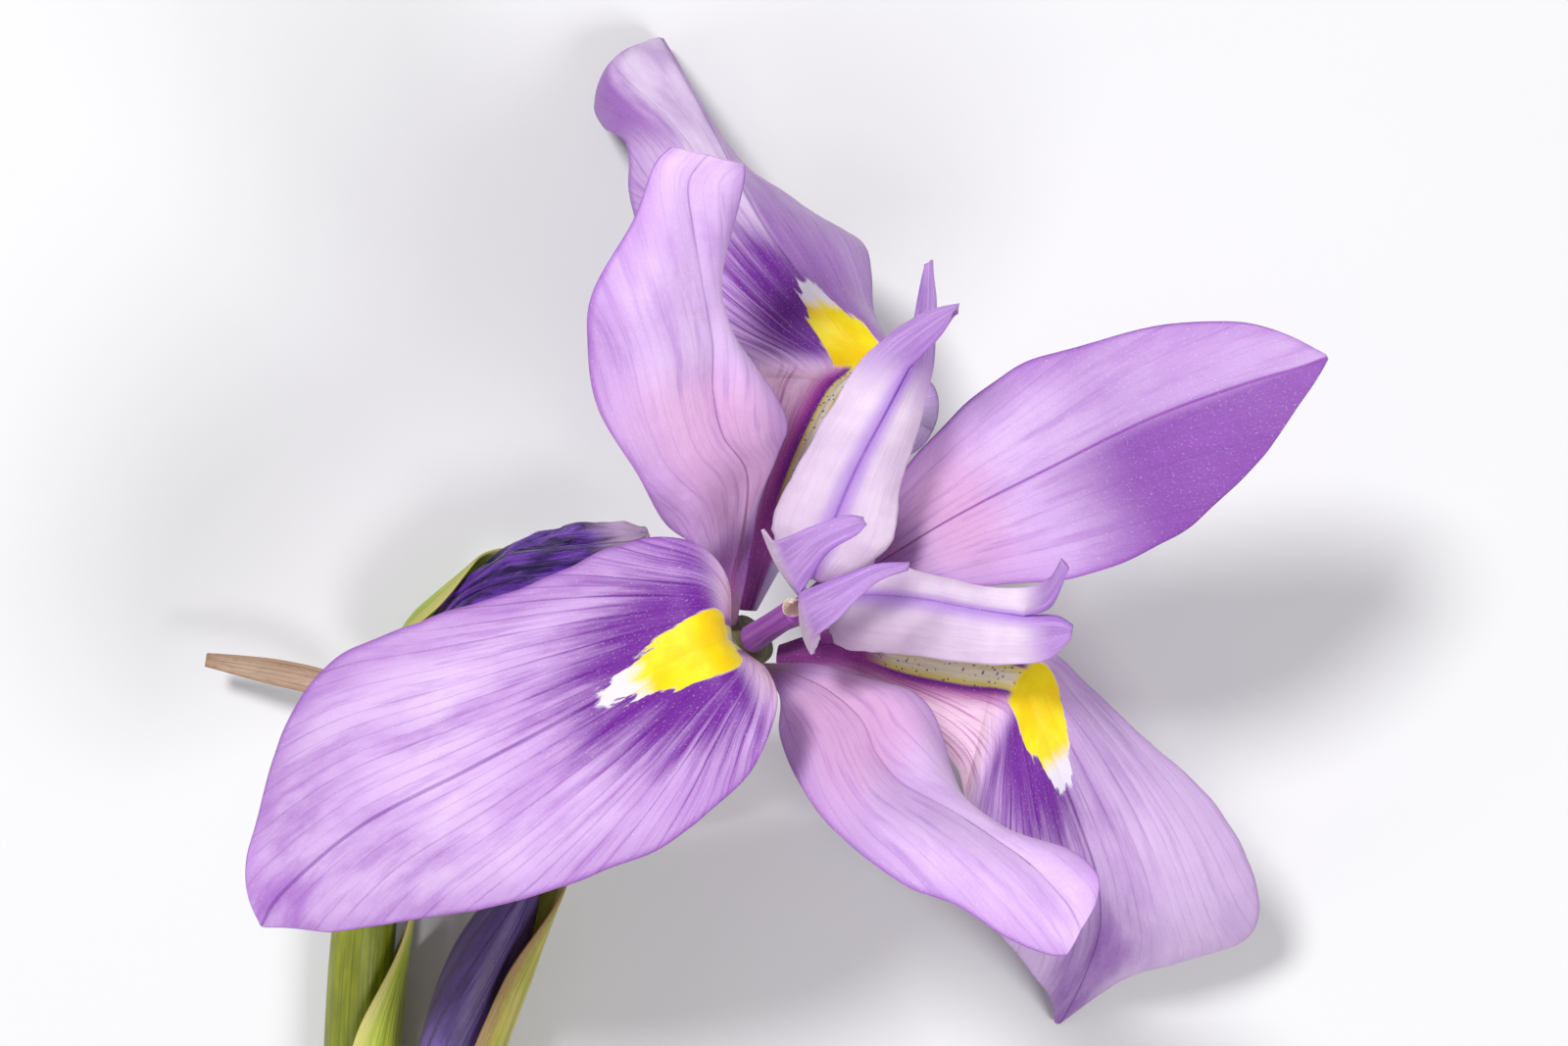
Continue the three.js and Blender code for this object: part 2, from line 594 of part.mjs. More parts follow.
// ---- dry bract, spent flower and its spathe at the node ----
add('dry_bract', blade({
  stations: [
    [-24.3, -11.0, 4.3, 0.9, 0.9, 0, 0, -40, -40],
    [-26.8, -9.6, 4.5, 0.9, 0.9, 0, 0, -50, -50],
    [-30.0, -8.8, 4.3, 0.8, 0.8, 0, 0, -50, -50],
    [-34.2, -8.1, 3.6, 0.4, 0.4, 0, 0, -20, -20],
  ],
  faces: [[0, 0, 1], [0, 0, 1]],
  thickness: BRACT_THICKNESS,
}), TAN);

add('spent_flower', stalk({
  stations: [
    [-20.6, -6.6, 5.1, 0.5],
    [-18.6, -4.5, 5.6, 0.9],
    [-15.7, -3.1, 6.2, 1.5],
    [-12.2, -1.9, 6.1, 1.6],
    [-9.2, -1.0, 5.9, 0.9],
    [-8.0, -0.5, 5.7, 0.3],
  ],
  sides: 15,
  ridges: 5,
  depth: 0.18,
  twist: 2,
}), WITHERED);

add('spent_spathe', blade({
  stations: [
    [-22.8, -9.8, 3.9, 1.4, 1.4, 0, 0, -50, -50],
    [-21.9, -6.6, 3.4, 3.0, 3.0, 0, 0, -84, -84],
    [-19.9, -4.6, 3.6, 3.4, 3.4, 0, 0, -92, -92],
    [-17.6, -2.6, 4.2, 2.2, 2.2, 0, 0, -60, -60],
    [-16.6, -1.6, 4.6, 0.2, 0.2, 0, 0, 0, 0],
  ],
  faces: [[0.5, -0.45, 0.7], [0.5, -0.45, 0.7]],
  thickness: BRACT_THICKNESS,
}), LEAF_GREEN);

// ---- the origin is the middle of the underside of the whole stem ----
root.updateMatrixWorld(true);
const bounds = new THREE.Box3().setFromObject(root, true);
const middle = bounds.getCenter(new THREE.Vector3());
root.position.set(-middle.x, -middle.y, -bounds.min.z);

export default root;
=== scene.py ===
import math

import bpy
import numpy as np
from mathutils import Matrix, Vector, noise


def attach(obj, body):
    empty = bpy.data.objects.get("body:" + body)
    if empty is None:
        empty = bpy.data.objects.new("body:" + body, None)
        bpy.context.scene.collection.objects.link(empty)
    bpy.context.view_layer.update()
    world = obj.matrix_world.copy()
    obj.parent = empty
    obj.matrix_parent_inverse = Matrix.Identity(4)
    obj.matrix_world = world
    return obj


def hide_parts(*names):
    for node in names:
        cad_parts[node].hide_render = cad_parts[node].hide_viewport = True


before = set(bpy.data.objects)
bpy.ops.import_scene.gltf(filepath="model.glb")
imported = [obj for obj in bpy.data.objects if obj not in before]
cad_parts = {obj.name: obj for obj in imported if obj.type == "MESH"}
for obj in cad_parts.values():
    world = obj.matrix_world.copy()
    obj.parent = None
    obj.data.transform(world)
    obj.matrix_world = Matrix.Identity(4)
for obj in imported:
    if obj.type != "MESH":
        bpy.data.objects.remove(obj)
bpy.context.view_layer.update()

MM = 0.001
SHIFT = np.array([2.7605, 16.5018, -0.0186])  # from the working frame to the row frame, mm
BASE = np.array([-1.9, -6.6, 17.5])
AXIS = np.array([0.503, 0.35, 0.79])
AXIS = AXIS / np.linalg.norm(AXIS)
ACROSS = np.array([-0.57, 0.82, 0.0])
ACROSS = ACROSS / np.linalg.norm(ACROSS)
AWAY = np.cross(ACROSS, AXIS)
AWAY = AWAY / np.linalg.norm(AWAY)


# ---------------------------------------------------------------- shapes
def ring_point(degrees, radius, height):
    """A point on a ring around the flower's axis, raised along it from the ovary's top."""
    turn = math.radians(degrees)
    p = BASE + AWAY * (radius * math.cos(turn)) + ACROSS * (radius * math.sin(turn))
    return list(p + AXIS * height)


def through(values, t):
    """Smooth values at t (0..1) through evenly spaced rows of numbers."""
    values = np.asarray(values, float)
    if values.ndim == 1:
        values = values[:, None]
    last = len(values) - 1
    x = np.clip(np.asarray(t, float) * last, 0, last - 1e-6)
    i = np.floor(x).astype(int)
    f = (x - i)[:, None]
    p0 = values[np.maximum(i - 1, 0)]
    p1 = values[i]
    p2 = values[i + 1]
    p3 = values[np.minimum(i + 2, last)]
    m1 = (p2 - p0) / 2
    m2 = (p3 - p1) / 2
    a = 2 * p1 - 2 * p2 + m1 + m2
    b = -3 * p1 + 3 * p2 - 2 * m1 - m2
    return ((a * f + b) * f + m1) * f + p1


def unit(v):
    return v / np.maximum(np.linalg.norm(v, axis=-1, keepdims=True), 1e-9)


def reach_along(line):
    """Length from the first point of a line to each of its points."""
    steps = np.linalg.norm(np.diff(line, axis=0), axis=1)
    return np.concatenate([[0], np.cumsum(steps)])


def wander(points, size, seed):
    """Smooth random numbers, about -1..1, at each point; size is the length of a swell in mm."""
    flat = points.reshape(-1, 3) / size
    offset = Vector((seed * 3.7, seed * 1.3, seed * 7.1))
    values = [noise.noise(Vector(p) + offset) for p in flat]
    return np.array(values).reshape(points.shape[:-1]) * 1.6


def grid_normals(points):
    """The upward direction at each point of a grid."""
    along = np.gradient(points, axis=0)
    across = np.gradient(points, axis=1)
    return unit(np.cross(across, along))


def mesh_object(name, points, faces, maps, attributes, material):
    """A smooth mesh from points in mm, with its UV maps and its numbers per point."""
    mesh = bpy.data.meshes.new(name)
    mesh.from_pydata([tuple(p) for p in (points + SHIFT) * MM], [], [tuple(f) for f in faces])
    loops = np.zeros(len(mesh.loops), dtype=np.int32)
    mesh.loops.foreach_get("vertex_index", loops)
    for label, values in maps.items():
        layer = mesh.uv_layers.new(name=label)
        layer.data.foreach_set("uv", np.asarray(values, np.float32)[loops].ravel())
    for label, values in attributes.items():
        layer = mesh.attributes.new(label, "FLOAT", "POINT")
        layer.data.foreach_set("value", np.asarray(values, np.float32))
    mesh.materials.append(material)
    mesh.polygons.foreach_set("use_smooth", [True] * len(mesh.polygons))
    mesh.update()
    piece = bpy.data.objects.new(name, mesh)
    bpy.context.scene.collection.objects.link(piece)
    return piece


def sheet_solid(name, middle, thickness, maps, material):
    """A closed thin solid from a grid of points; thickness is a number per point."""
    rows, wide = middle.shape[:2]
    normals = grid_normals(middle)
    top = middle + normals * thickness[..., None] / 2
    under = middle - normals * thickness[..., None] / 2
    count = rows * wide
    points = np.concatenate([top.reshape(-1, 3), under.reshape(-1, 3)])
    r, c = np.meshgrid(np.arange(rows - 1), np.arange(wide - 1), indexing="ij")
    n = (r * wide + c).ravel()
    up = np.stack([n, n + 1, n + wide + 1, n + wide], 1)
    down = up[:, ::-1] + count
    rim = []
    edge = [(0, k) for k in range(wide)]
    edge += [(k, wide - 1) for k in range(1, rows)]
    edge += [(rows - 1, k) for k in range(wide - 2, -1, -1)]
    edge += [(k, 0) for k in range(rows - 2, 0, -1)]
    ids = [a * wide + b for a, b in edge]
    for a, b in zip(ids, ids[1:] + ids[:1]):
        rim.append([b, a, a + count, b + count])
    faces = np.concatenate([up, down, np.array(rim)])
    doubled = {k: np.concatenate([v.reshape(-1, 2)] * 2) for k, v in maps.items()}
    beneath = np.concatenate([np.zeros(count), np.ones(count)])
    return mesh_object(name, points, faces, doubled, {"beneath": beneath}, material)


def petal(name, middle, size_map, place_map, room, material, thick, swell, seed, fan, relief):
    """Adds soft swells and pressed-in veins to a petal's middle surface and thickens it."""
    share = place_map[..., 1] * 2 - 1
    normals = grid_normals(middle)
    gentle = wander(middle, 7.0, seed) * swell + wander(middle, 2.4, seed + 9) * swell * 0.3
    middle = middle + normals * (gentle * room[:, None] * (0.35 + 0.65 * np.abs(share)))[..., None]
    if fan is not None:
        ahead = size_map[..., 0] - fan
        spread = size_map[..., 1] / (np.maximum(ahead, -1.2) + 1.5) ** 0.7
        off = np.abs((spread / VEIN_STEP + 0.5) % 1 - 0.5) * VEIN_STEP
        off = off * (np.maximum(ahead, -1.2) + 1.5) ** 0.7
        groove = np.exp(-(off / 0.2) ** 2) * np.clip(ahead / 4, 0, 1)
        keel = np.exp(-(size_map[..., 1] / 0.35) ** 2) * np.clip(ahead / 4, 0, 1)
        middle = middle - normals * (relief * groove + relief * keel)[..., None]
    thickness = thick * (1 - 0.6 * np.abs(share) ** 3)
    return sheet_solid(name, middle, thickness, {"size": size_map, "place": place_map}, material)


VEIN_STEP = 0.30  # spread between the main veins where they leave the guide
VEIN_WIDTH = 0.075  # mm, half the width of a main vein's colour


def blade(name, stations, faces, material, rows=120, half=32, thick=0.32, ripple=0.3,
          waves=3.0, swell=0.2, seed=1, fan=None, relief=0.0, ragged=0.04):
    """A petal. Stations: place, half-width left and right, fold of each half away from
    the face, then the extra curl by its margin (degrees)."""
    stations = np.asarray(stations, float)
    t = np.linspace(0, 1, rows + 1)
    row = through(stations, t)
    centre = row[:, :3]
    ahead = through(stations[:, :3], np.minimum(t + 0.01, 1))
    behind = through(stations[:, :3], np.maximum(t - 0.01, 0))
    along = unit(ahead - behind)
    face = through(faces, t)
    face = unit(face - along * np.sum(face * along, 1, keepdims=True))
    right = np.cross(along, face)
    reach = reach_along(centre)
    share = np.linspace(-1, 1, 2 * half + 1)
    middle = np.zeros((rows + 1, len(share), 3))
    size_map = np.zeros((rows + 1, len(share), 2))
    place_map = np.zeros((rows + 1, len(share), 2))
    for c, s in enumerate(share):
        side = -1.0 if s < 0 else 1.0
        a = 0 if s < 0 else 1
        wobble = np.array([noise.noise(Vector((k * 0.3, side * 5 + seed, seed * 2.0))) for k in reach])
        width = np.maximum(row[:, 3 + a], 0.06) * (1 + ragged * wobble)
        fold = np.radians(row[:, 5 + a])
        curl = np.radians(row[:, 7 + a])
        steps = 16
        p = centre.copy()
        for k in range(steps):
            turn = fold + curl * abs(s) * (k + 0.5) / steps
            piece = (width * abs(s) / steps)[:, None]
            p = p + right * (side * np.cos(turn))[:, None] * piece
            p = p - face * np.sin(turn)[:, None] * piece
        lift = ripple * abs(s) ** 2.4 * np.sin(2 * math.pi * waves * t + side + seed)
        middle[:, c] = p + face * (lift * np.minimum(1, width / 3))[:, None]
        size_map[:, c, 0] = reach
        size_map[:, c, 1] = side * width * abs(s)
        place_map[:, c, 0] = t
        place_map[:, c, 1] = s * 0.5 + 0.5
    room = np.minimum(1, np.maximum(row[:, 3], row[:, 4]) / 4)
    return petal(name, middle, size_map, place_map, room, material, thick, swell, seed, fan, relief)


def draped(name, stations, material, rows=200, half=40, thick=0.32, ripple=0.12, waves=4.0,
           swell=0.2, seed=1, fan=None, relief=0.018):
    """A petal hung on three lines. Stations: midrib, left margin and right margin, then
    how far each half swells out of the flat."""
    stations = np.asarray(stations, float)
    t = np.linspace(0, 1, rows + 1)
    row = through(stations, t)
    centre = row[:, :3]
    along = unit(through(stations[:, :3], np.minimum(t + 0.01, 1))
                 - through(stations[:, :3], np.maximum(t - 0.01, 0)))
    reach = reach_along(centre)
    share = np.linspace(-1, 1, 2 * half + 1)
    middle = np.zeros((rows + 1, len(share), 3))
    size_map = np.zeros((rows + 1, len(share), 2))
    place_map = np.zeros((rows + 1, len(share), 2))
    for c, s in enumerate(share):
        side = -1.0 if s < 0 else 1.0
        margin = row[:, 3:6] if s < 0 else row[:, 6:9]
        bulge = row[:, 9] if s < 0 else row[:, 10]
        span = margin - centre
        width = np.linalg.norm(span, axis=1)
        up = unit(np.cross(span, along)) * side
        lift = bulge * (1 - abs(2 * abs(s) - 1) ** 1.6)
        wave = ripple * abs(s) ** 2.4 * np.sin(2 * math.pi * waves * t + side + seed)
        lift = lift + wave * np.minimum(1, width / 4)
        middle[:, c] = centre + span * abs(s) + up * lift[:, None]
        size_map[:, c, 0] = reach
        size_map[:, c, 1] = side * width * abs(s)
        place_map[:, c, 0] = t
        place_map[:, c, 1] = s * 0.5 + 0.5
    room = np.minimum(1, np.linalg.norm(row[:, 3:6] - row[:, 6:9], axis=1) / 8)
    return petal(name, middle, size_map, place_map, room, material, thick, swell, seed, fan, relief)


def length_to(stations, index):
    """Length of the midrib from its foot to a station."""
    stations = np.asarray(stations, float)[:, :3]
    p = through(stations, np.linspace(0, index / (len(stations) - 1), 60))
    return float(np.sum(np.linalg.norm(np.diff(p, axis=0), axis=1)))


def forked(name, shared, halves, material, thick=0.35, belly=0.5, seed=1, rows=60, across=20):
    """A style branch: two halves that meet on the midline and part into two crests."""
    parts = []
    n = len(shared) - 1
    for half in halves:
        inner = [shared[-1]] + half["inner"]
        total = n + len(inner) - 1
        split = int(round(rows * n / total))
        tip = rows - split
        first = through(shared, np.linspace(0, 1, split + 1))
        second = through(inner, np.linspace(0, 1, tip + 1))[1:]
        a = np.concatenate([first, second])
        t = np.linspace(0, 1, rows + 1)
        b = through(half["outer"], t)
        bulge = half.get("belly", belly) * np.sin(math.pi * np.minimum(t * 1.6, 1))
        s = np.linspace(0, 1, across + 1)
        middle = a[:, None] * (1 - s)[None, :, None] + b[:, None] * s[None, :, None]
        bow = np.array(half["bow"], float)
        middle = middle + bow * (bulge[:, None] * np.sin(math.pi * s)[None, :])[..., None]
        frill = wander(middle, 1.8, seed) * 0.10 * s[None, :] ** 3
        middle = middle + grid_like(bow, frill)
        lip = np.clip(1 - t / 0.35, 0, 1)[:, None]
        jag = wander(middle, 2.2, seed + 4) * 0.10 + wander(middle, 0.5, seed + 6) * 0.22 * lip
        middle = middle + unit(b - a)[:, None] * (jag * s[None, :] ** 4)[..., None]
        place = np.zeros(middle.shape[:2] + (2,))
        place[..., 0] = t[:, None]
        place[..., 1] = s[None, :]
        size = np.zeros_like(place)
        size[..., 0] = reach_along(a)[:, None]
        size[..., 1] = np.linalg.norm(b - a, axis=1)[:, None] * s[None, :]
        if half.get("flip"):
            middle = middle[:, ::-1]
            place = place[:, ::-1]
            size = size[:, ::-1]
        thickness = thick * np.ones(middle.shape[:2])
        thickness = thickness * (1 - 0.55 * place[..., 1] ** 3)
        parts.append(sheet_solid(name, middle, thickness, {"size": size, "place": place}, material))
    return joined(name, parts)


def grid_like(direction, amount):
    """One direction times a number per grid point."""
    return direction[None, None, :] * amount[..., None]


def joined(name, parts):
    """Makes one piece of several."""
    bpy.ops.object.select_all(action="DESELECT")
    for p in parts:
        p.select_set(True)
    bpy.context.view_layer.objects.active = parts[0]
    if len(parts) > 1:
        bpy.ops.object.join()
    parts[0].name = name
    parts[0].data.name = name
    return parts[0]


def stalk(name, stations, material, sides=48, rows=120, ridges=0, depth=0.0,
          twist=0.0, crinkle=0.0, seed=1):
    """A closed round stalk through stations of place and radius."""
    stations = np.asarray(stations, float)
    t = np.linspace(0, 1, rows + 1)
    row = through(stations, t)
    centre = row[:, :3]
    radius = np.maximum(row[:, 3], 0.05)
    ahead = through(stations[:, :3], np.minimum(t + 0.01, 1))
    behind = through(stations[:, :3], np.maximum(t - 0.01, 0))
    along = unit(ahead - behind)
    across = unit(np.cross([0, 0, 1.0], along[0]))
    side_ways = []
    for k in range(rows + 1):
        across = unit(across - along[k] * np.dot(across, along[k]))
        side_ways.append(across)
    side_ways = np.array(side_ways)
    up = np.cross(along, side_ways)
    turn = np.linspace(0, 2 * math.pi, sides, endpoint=False)
    wave = 1 + depth * np.cos(ridges * turn)
    angle = turn[None, :] + twist * t[:, None]
    x = radius[:, None] * wave[None, :] * np.cos(angle)
    y = radius[:, None] * wave[None, :] * np.sin(angle)
    points = centre[:, None] + side_ways[:, None] * x[..., None] + up[:, None] * y[..., None]
    if crinkle:
        out = unit(points - centre[:, None])
        folds = np.stack([np.broadcast_to(np.cos(turn) * 2.2, points.shape[:2]),
                          np.broadcast_to(np.sin(turn) * 2.2, points.shape[:2]),
                          np.broadcast_to(np.linspace(0, 3.2, rows + 1)[:, None], points.shape[:2])], 2)
        amount = 0.5 - 1.6 * np.abs(wander(folds, 1.0, seed)) + wander(folds, 0.35, seed + 3) * 0.3
        fade = np.minimum(1, radius / 1.0)[:, None]
        points = points + out * (amount * crinkle * fade)[..., None]
    flat_points = points.reshape(-1, 3)
    reach = reach_along(centre)
    size = np.stack([np.repeat(reach, sides), np.tile(turn, rows + 1)], 1)
    place = np.stack([np.repeat(t, sides), np.tile(turn / (2 * math.pi), rows + 1)], 1)
    faces = []
    for r in range(rows):
        for c in range(sides):
            a = r * sides + c
            b = r * sides + (c + 1) % sides
            faces.append((a, b, b + sides, a + sides))
    ends = [centre[0], centre[-1]]
    points = np.concatenate([flat_points, ends])
    size = np.concatenate([size, [[0, 0], [reach[-1], 0]]])
    place = np.concatenate([place, [[0, 0], [1, 0]]])
    hub = len(flat_points)
    for c in range(sides):
        faces.append((hub, (c + 1) % sides, c))
        a = rows * sides + c
        b = rows * sides + (c + 1) % sides
        faces.append((hub + 1, a, b))
    return mesh_object(name, points, faces, {"size": size, "place": place},
                       {"beneath": np.zeros(len(points))}, material)


# ---------------------------------------------------------------- materials
def colour(r, g, b):
    """A tone given as 0..255, turned into the shader's linear values."""
    def linear(v):
        v = v / 255
        return v / 12.92 if v <= 0.04045 else ((v + 0.055) / 1.055) ** 2.4
    return (linear(r), linear(g), linear(b), 1.0)


class Look:
    """Builds one material from small steps."""

    def __init__(self, name):
        self.material = bpy.data.materials.new(name)
        self.material.use_nodes = True
        self.tree = self.material.node_tree
        self.tree.nodes.clear()
        self.maps = {}

    def node(self, kind, **settings):
        n = self.tree.nodes.new(kind)
        for key, value in settings.items():
            setattr(n, key, value)
        return n

    def put(self, socket, value):
        if isinstance(value, bpy.types.NodeSocket):
            self.tree.links.new(value, socket)
        else:
            socket.default_value = value

    def math(self, operation, *values, clamp=False):
        n = self.node("ShaderNodeMath", operation=operation, use_clamp=clamp)
        for k, v in enumerate(values):
            self.put(n.inputs[k], v)
        return n.outputs[0]

    def add(self, a, b):
        return self.math("ADD", a, b)

    def sub(self, a, b):
        return self.math("SUBTRACT", a, b)

    def mul(self, *values):
        result = values[0]
        for v in values[1:]:
            result = self.math("MULTIPLY", result, v)
        return result

    def high(self, a, b):
        return self.math("MAXIMUM", a, b)

    def ramp(self, value, low, high, start=0.0, end=1.0):
        n = self.node("ShaderNodeMapRange", interpolation_type="SMOOTHSTEP")
        self.put(n.inputs["Value"], value)
        self.put(n.inputs["From Min"], low)
        self.put(n.inputs["From Max"], high)
        self.put(n.inputs["To Min"], start)
        self.put(n.inputs["To Max"], end)
        return n.outputs["Result"]

    def mix(self, share, a, b):
        n = self.node("ShaderNodeMix", data_type="RGBA")
        self.put(n.inputs[0], share)
        self.put(n.inputs[6], a)
        self.put(n.inputs[7], b)
        return n.outputs[2]

    def point(self, x, y, z=0.0):
        n = self.node("ShaderNodeCombineXYZ")
        self.put(n.inputs[0], x)
        self.put(n.inputs[1], y)
        self.put(n.inputs[2], z)
        return n.outputs[0]

    def noise(self, where, scale=1.0, detail=2.0, rough=0.5):
        n = self.node("ShaderNodeTexNoise")
        self.put(n.inputs["Vector"], where)
        n.inputs["Scale"].default_value = scale
        n.inputs["Detail"].default_value = detail
        n.inputs["Roughness"].default_value = rough
        return n.outputs["Fac"]

    def cells(self, where, scale=1.0):
        n = self.node("ShaderNodeTexVoronoi")
        self.put(n.inputs["Vector"], where)
        n.inputs["Scale"].default_value = scale
        return n.outputs["Distance"]

    def uv(self, name):
        if name not in self.maps:
            n = self.node("ShaderNodeUVMap", uv_map=name)
            split = self.node("ShaderNodeSeparateXYZ")
            self.tree.links.new(n.outputs[0], split.inputs[0])
            self.maps[name] = (split.outputs[0], split.outputs[1], n.outputs[0])
        return self.maps[name]

    def attribute(self, name):
        n = self.node("ShaderNodeAttribute", attribute_name=name)
        return n.outputs["Fac"]

    def body(self):
        n = self.node("ShaderNodeTexCoord")
        return n.outputs["Object"]

    def bump(self, height, distance, strength=1.0, normal=None):
        n = self.node("ShaderNodeBump")
        n.inputs["Strength"].default_value = strength
        n.inputs["Distance"].default_value = distance
        self.put(n.inputs["Height"], height)
        if normal is not None:
            self.put(n.inputs["Normal"], normal)
        return n.outputs[0]

    def finish(self, base, roughness=0.5, normal=None, through_light=0.0, sheen=0.0,
               specular=0.4, soft=0.0):
        out = self.node("ShaderNodeOutputMaterial")
        p = self.node("ShaderNodeBsdfPrincipled")
        self.put(p.inputs["Base Color"], base)
        self.put(p.inputs["Roughness"], roughness)
        p.inputs["Specular IOR Level"].default_value = specular
        p.inputs["Sheen Weight"].default_value = sheen
        p.inputs["Sheen Roughness"].default_value = 0.4
        if soft:
            p.inputs["Subsurface Weight"].default_value = soft
            p.inputs["Subsurface Radius"].default_value = (0.9, 0.5, 0.9)
            p.inputs["Subsurface Scale"].default_value = 0.0008
        if normal is not None:
            self.put(p.inputs["Normal"], normal)
        if through_light:
            clear = self.node("ShaderNodeBsdfTranslucent")
            self.put(clear.inputs["Color"], base)
            if normal is not None:
                self.put(clear.inputs["Normal"], normal)
            blend = self.node("ShaderNodeMixShader")
            blend.inputs[0].default_value = through_light
            self.tree.links.new(p.outputs[0], blend.inputs[1])
            self.tree.links.new(clear.outputs[0], blend.inputs[2])
            self.tree.links.new(blend.outputs[0], out.inputs[0])
        else:
            self.tree.links.new(p.outputs[0], out.inputs[0])
        return self.material

    def veins(self, x, y, origin, width):
        """Fine lines that leave the midrib by `origin`, arch outward and branch."""
        ahead = self.sub(x, origin)
        gap = self.math("POWER", self.add(self.high(ahead, -1.2), 1.5), 0.7)
        spread = self.math("DIVIDE", y, gap)
        total = None
        for level in range(3):
            step = VEIN_STEP / 2 ** level
            near = self.math("FRACT", self.add(self.mul(spread, 1 / step), 0.5))
            off = self.mul(self.math("ABSOLUTE", self.sub(near, 0.5)), step, gap)
            line = self.ramp(off, width * (0.3 - 0.05 * level), width * (1 - 0.2 * level), 1.0, 0.0)
            where = self.point(self.mul(spread, 3.0 + 3.0 * level), self.mul(x, 0.16), level)
            pulse = self.noise(where, 1.0, 2.0)
            line = self.mul(line, (1.0, 0.75, 0.55)[level], self.ramp(pulse, 0.3, 0.66, 0.2, 1.0))
            if level:
                line = self.mul(line, self.ramp(ahead, 3.0 * level, 4.0 + 5.0 * level, 0.15, 1.0))
            total = line if total is None else self.high(total, line)
        return total, spread

    def veined(self, x, y, origin):
        """A petal's veins, with broad and fine streaks that run the way they do."""
        line, spread = self.veins(x, y, origin, VEIN_WIDTH)
        broad = self.point(self.mul(spread, 4.0), self.mul(x, 0.10))
        close = self.point(self.mul(spread, 15.0), self.mul(x, 0.16))
        return line, spread, self.noise(broad, 1.0, 4.0, 0.6), self.noise(close, 1.0, 3.0, 0.6)

    def speckle(self, x, y):
        """The fine sparkle of petal cells, as a height and as a mask for painted glints."""
        fine = self.noise(self.point(self.mul(x, 6.0), self.mul(y, 8.0)), 1.0, 3.0, 0.7)
        return fine, self.ramp(fine, 0.58, 0.70)


LILAC = colour(216, 180, 232)
LILAC_PALE = colour(234, 208, 244)
LILAC_MID = colour(190, 140, 214)
LILAC_DEEP = colour(162, 92, 194)
VEIN = colour(134, 46, 164)
VIOLET = colour(112, 6, 152)
# tint of the painted light that shines through the inner tepals
GLOW_PINK = colour(240, 190, 226)
YELLOW = colour(255, 232, 0)
AMBER = colour(252, 212, 0)
CREAM = colour(240, 234, 208)
WHITE = colour(244, 238, 250)


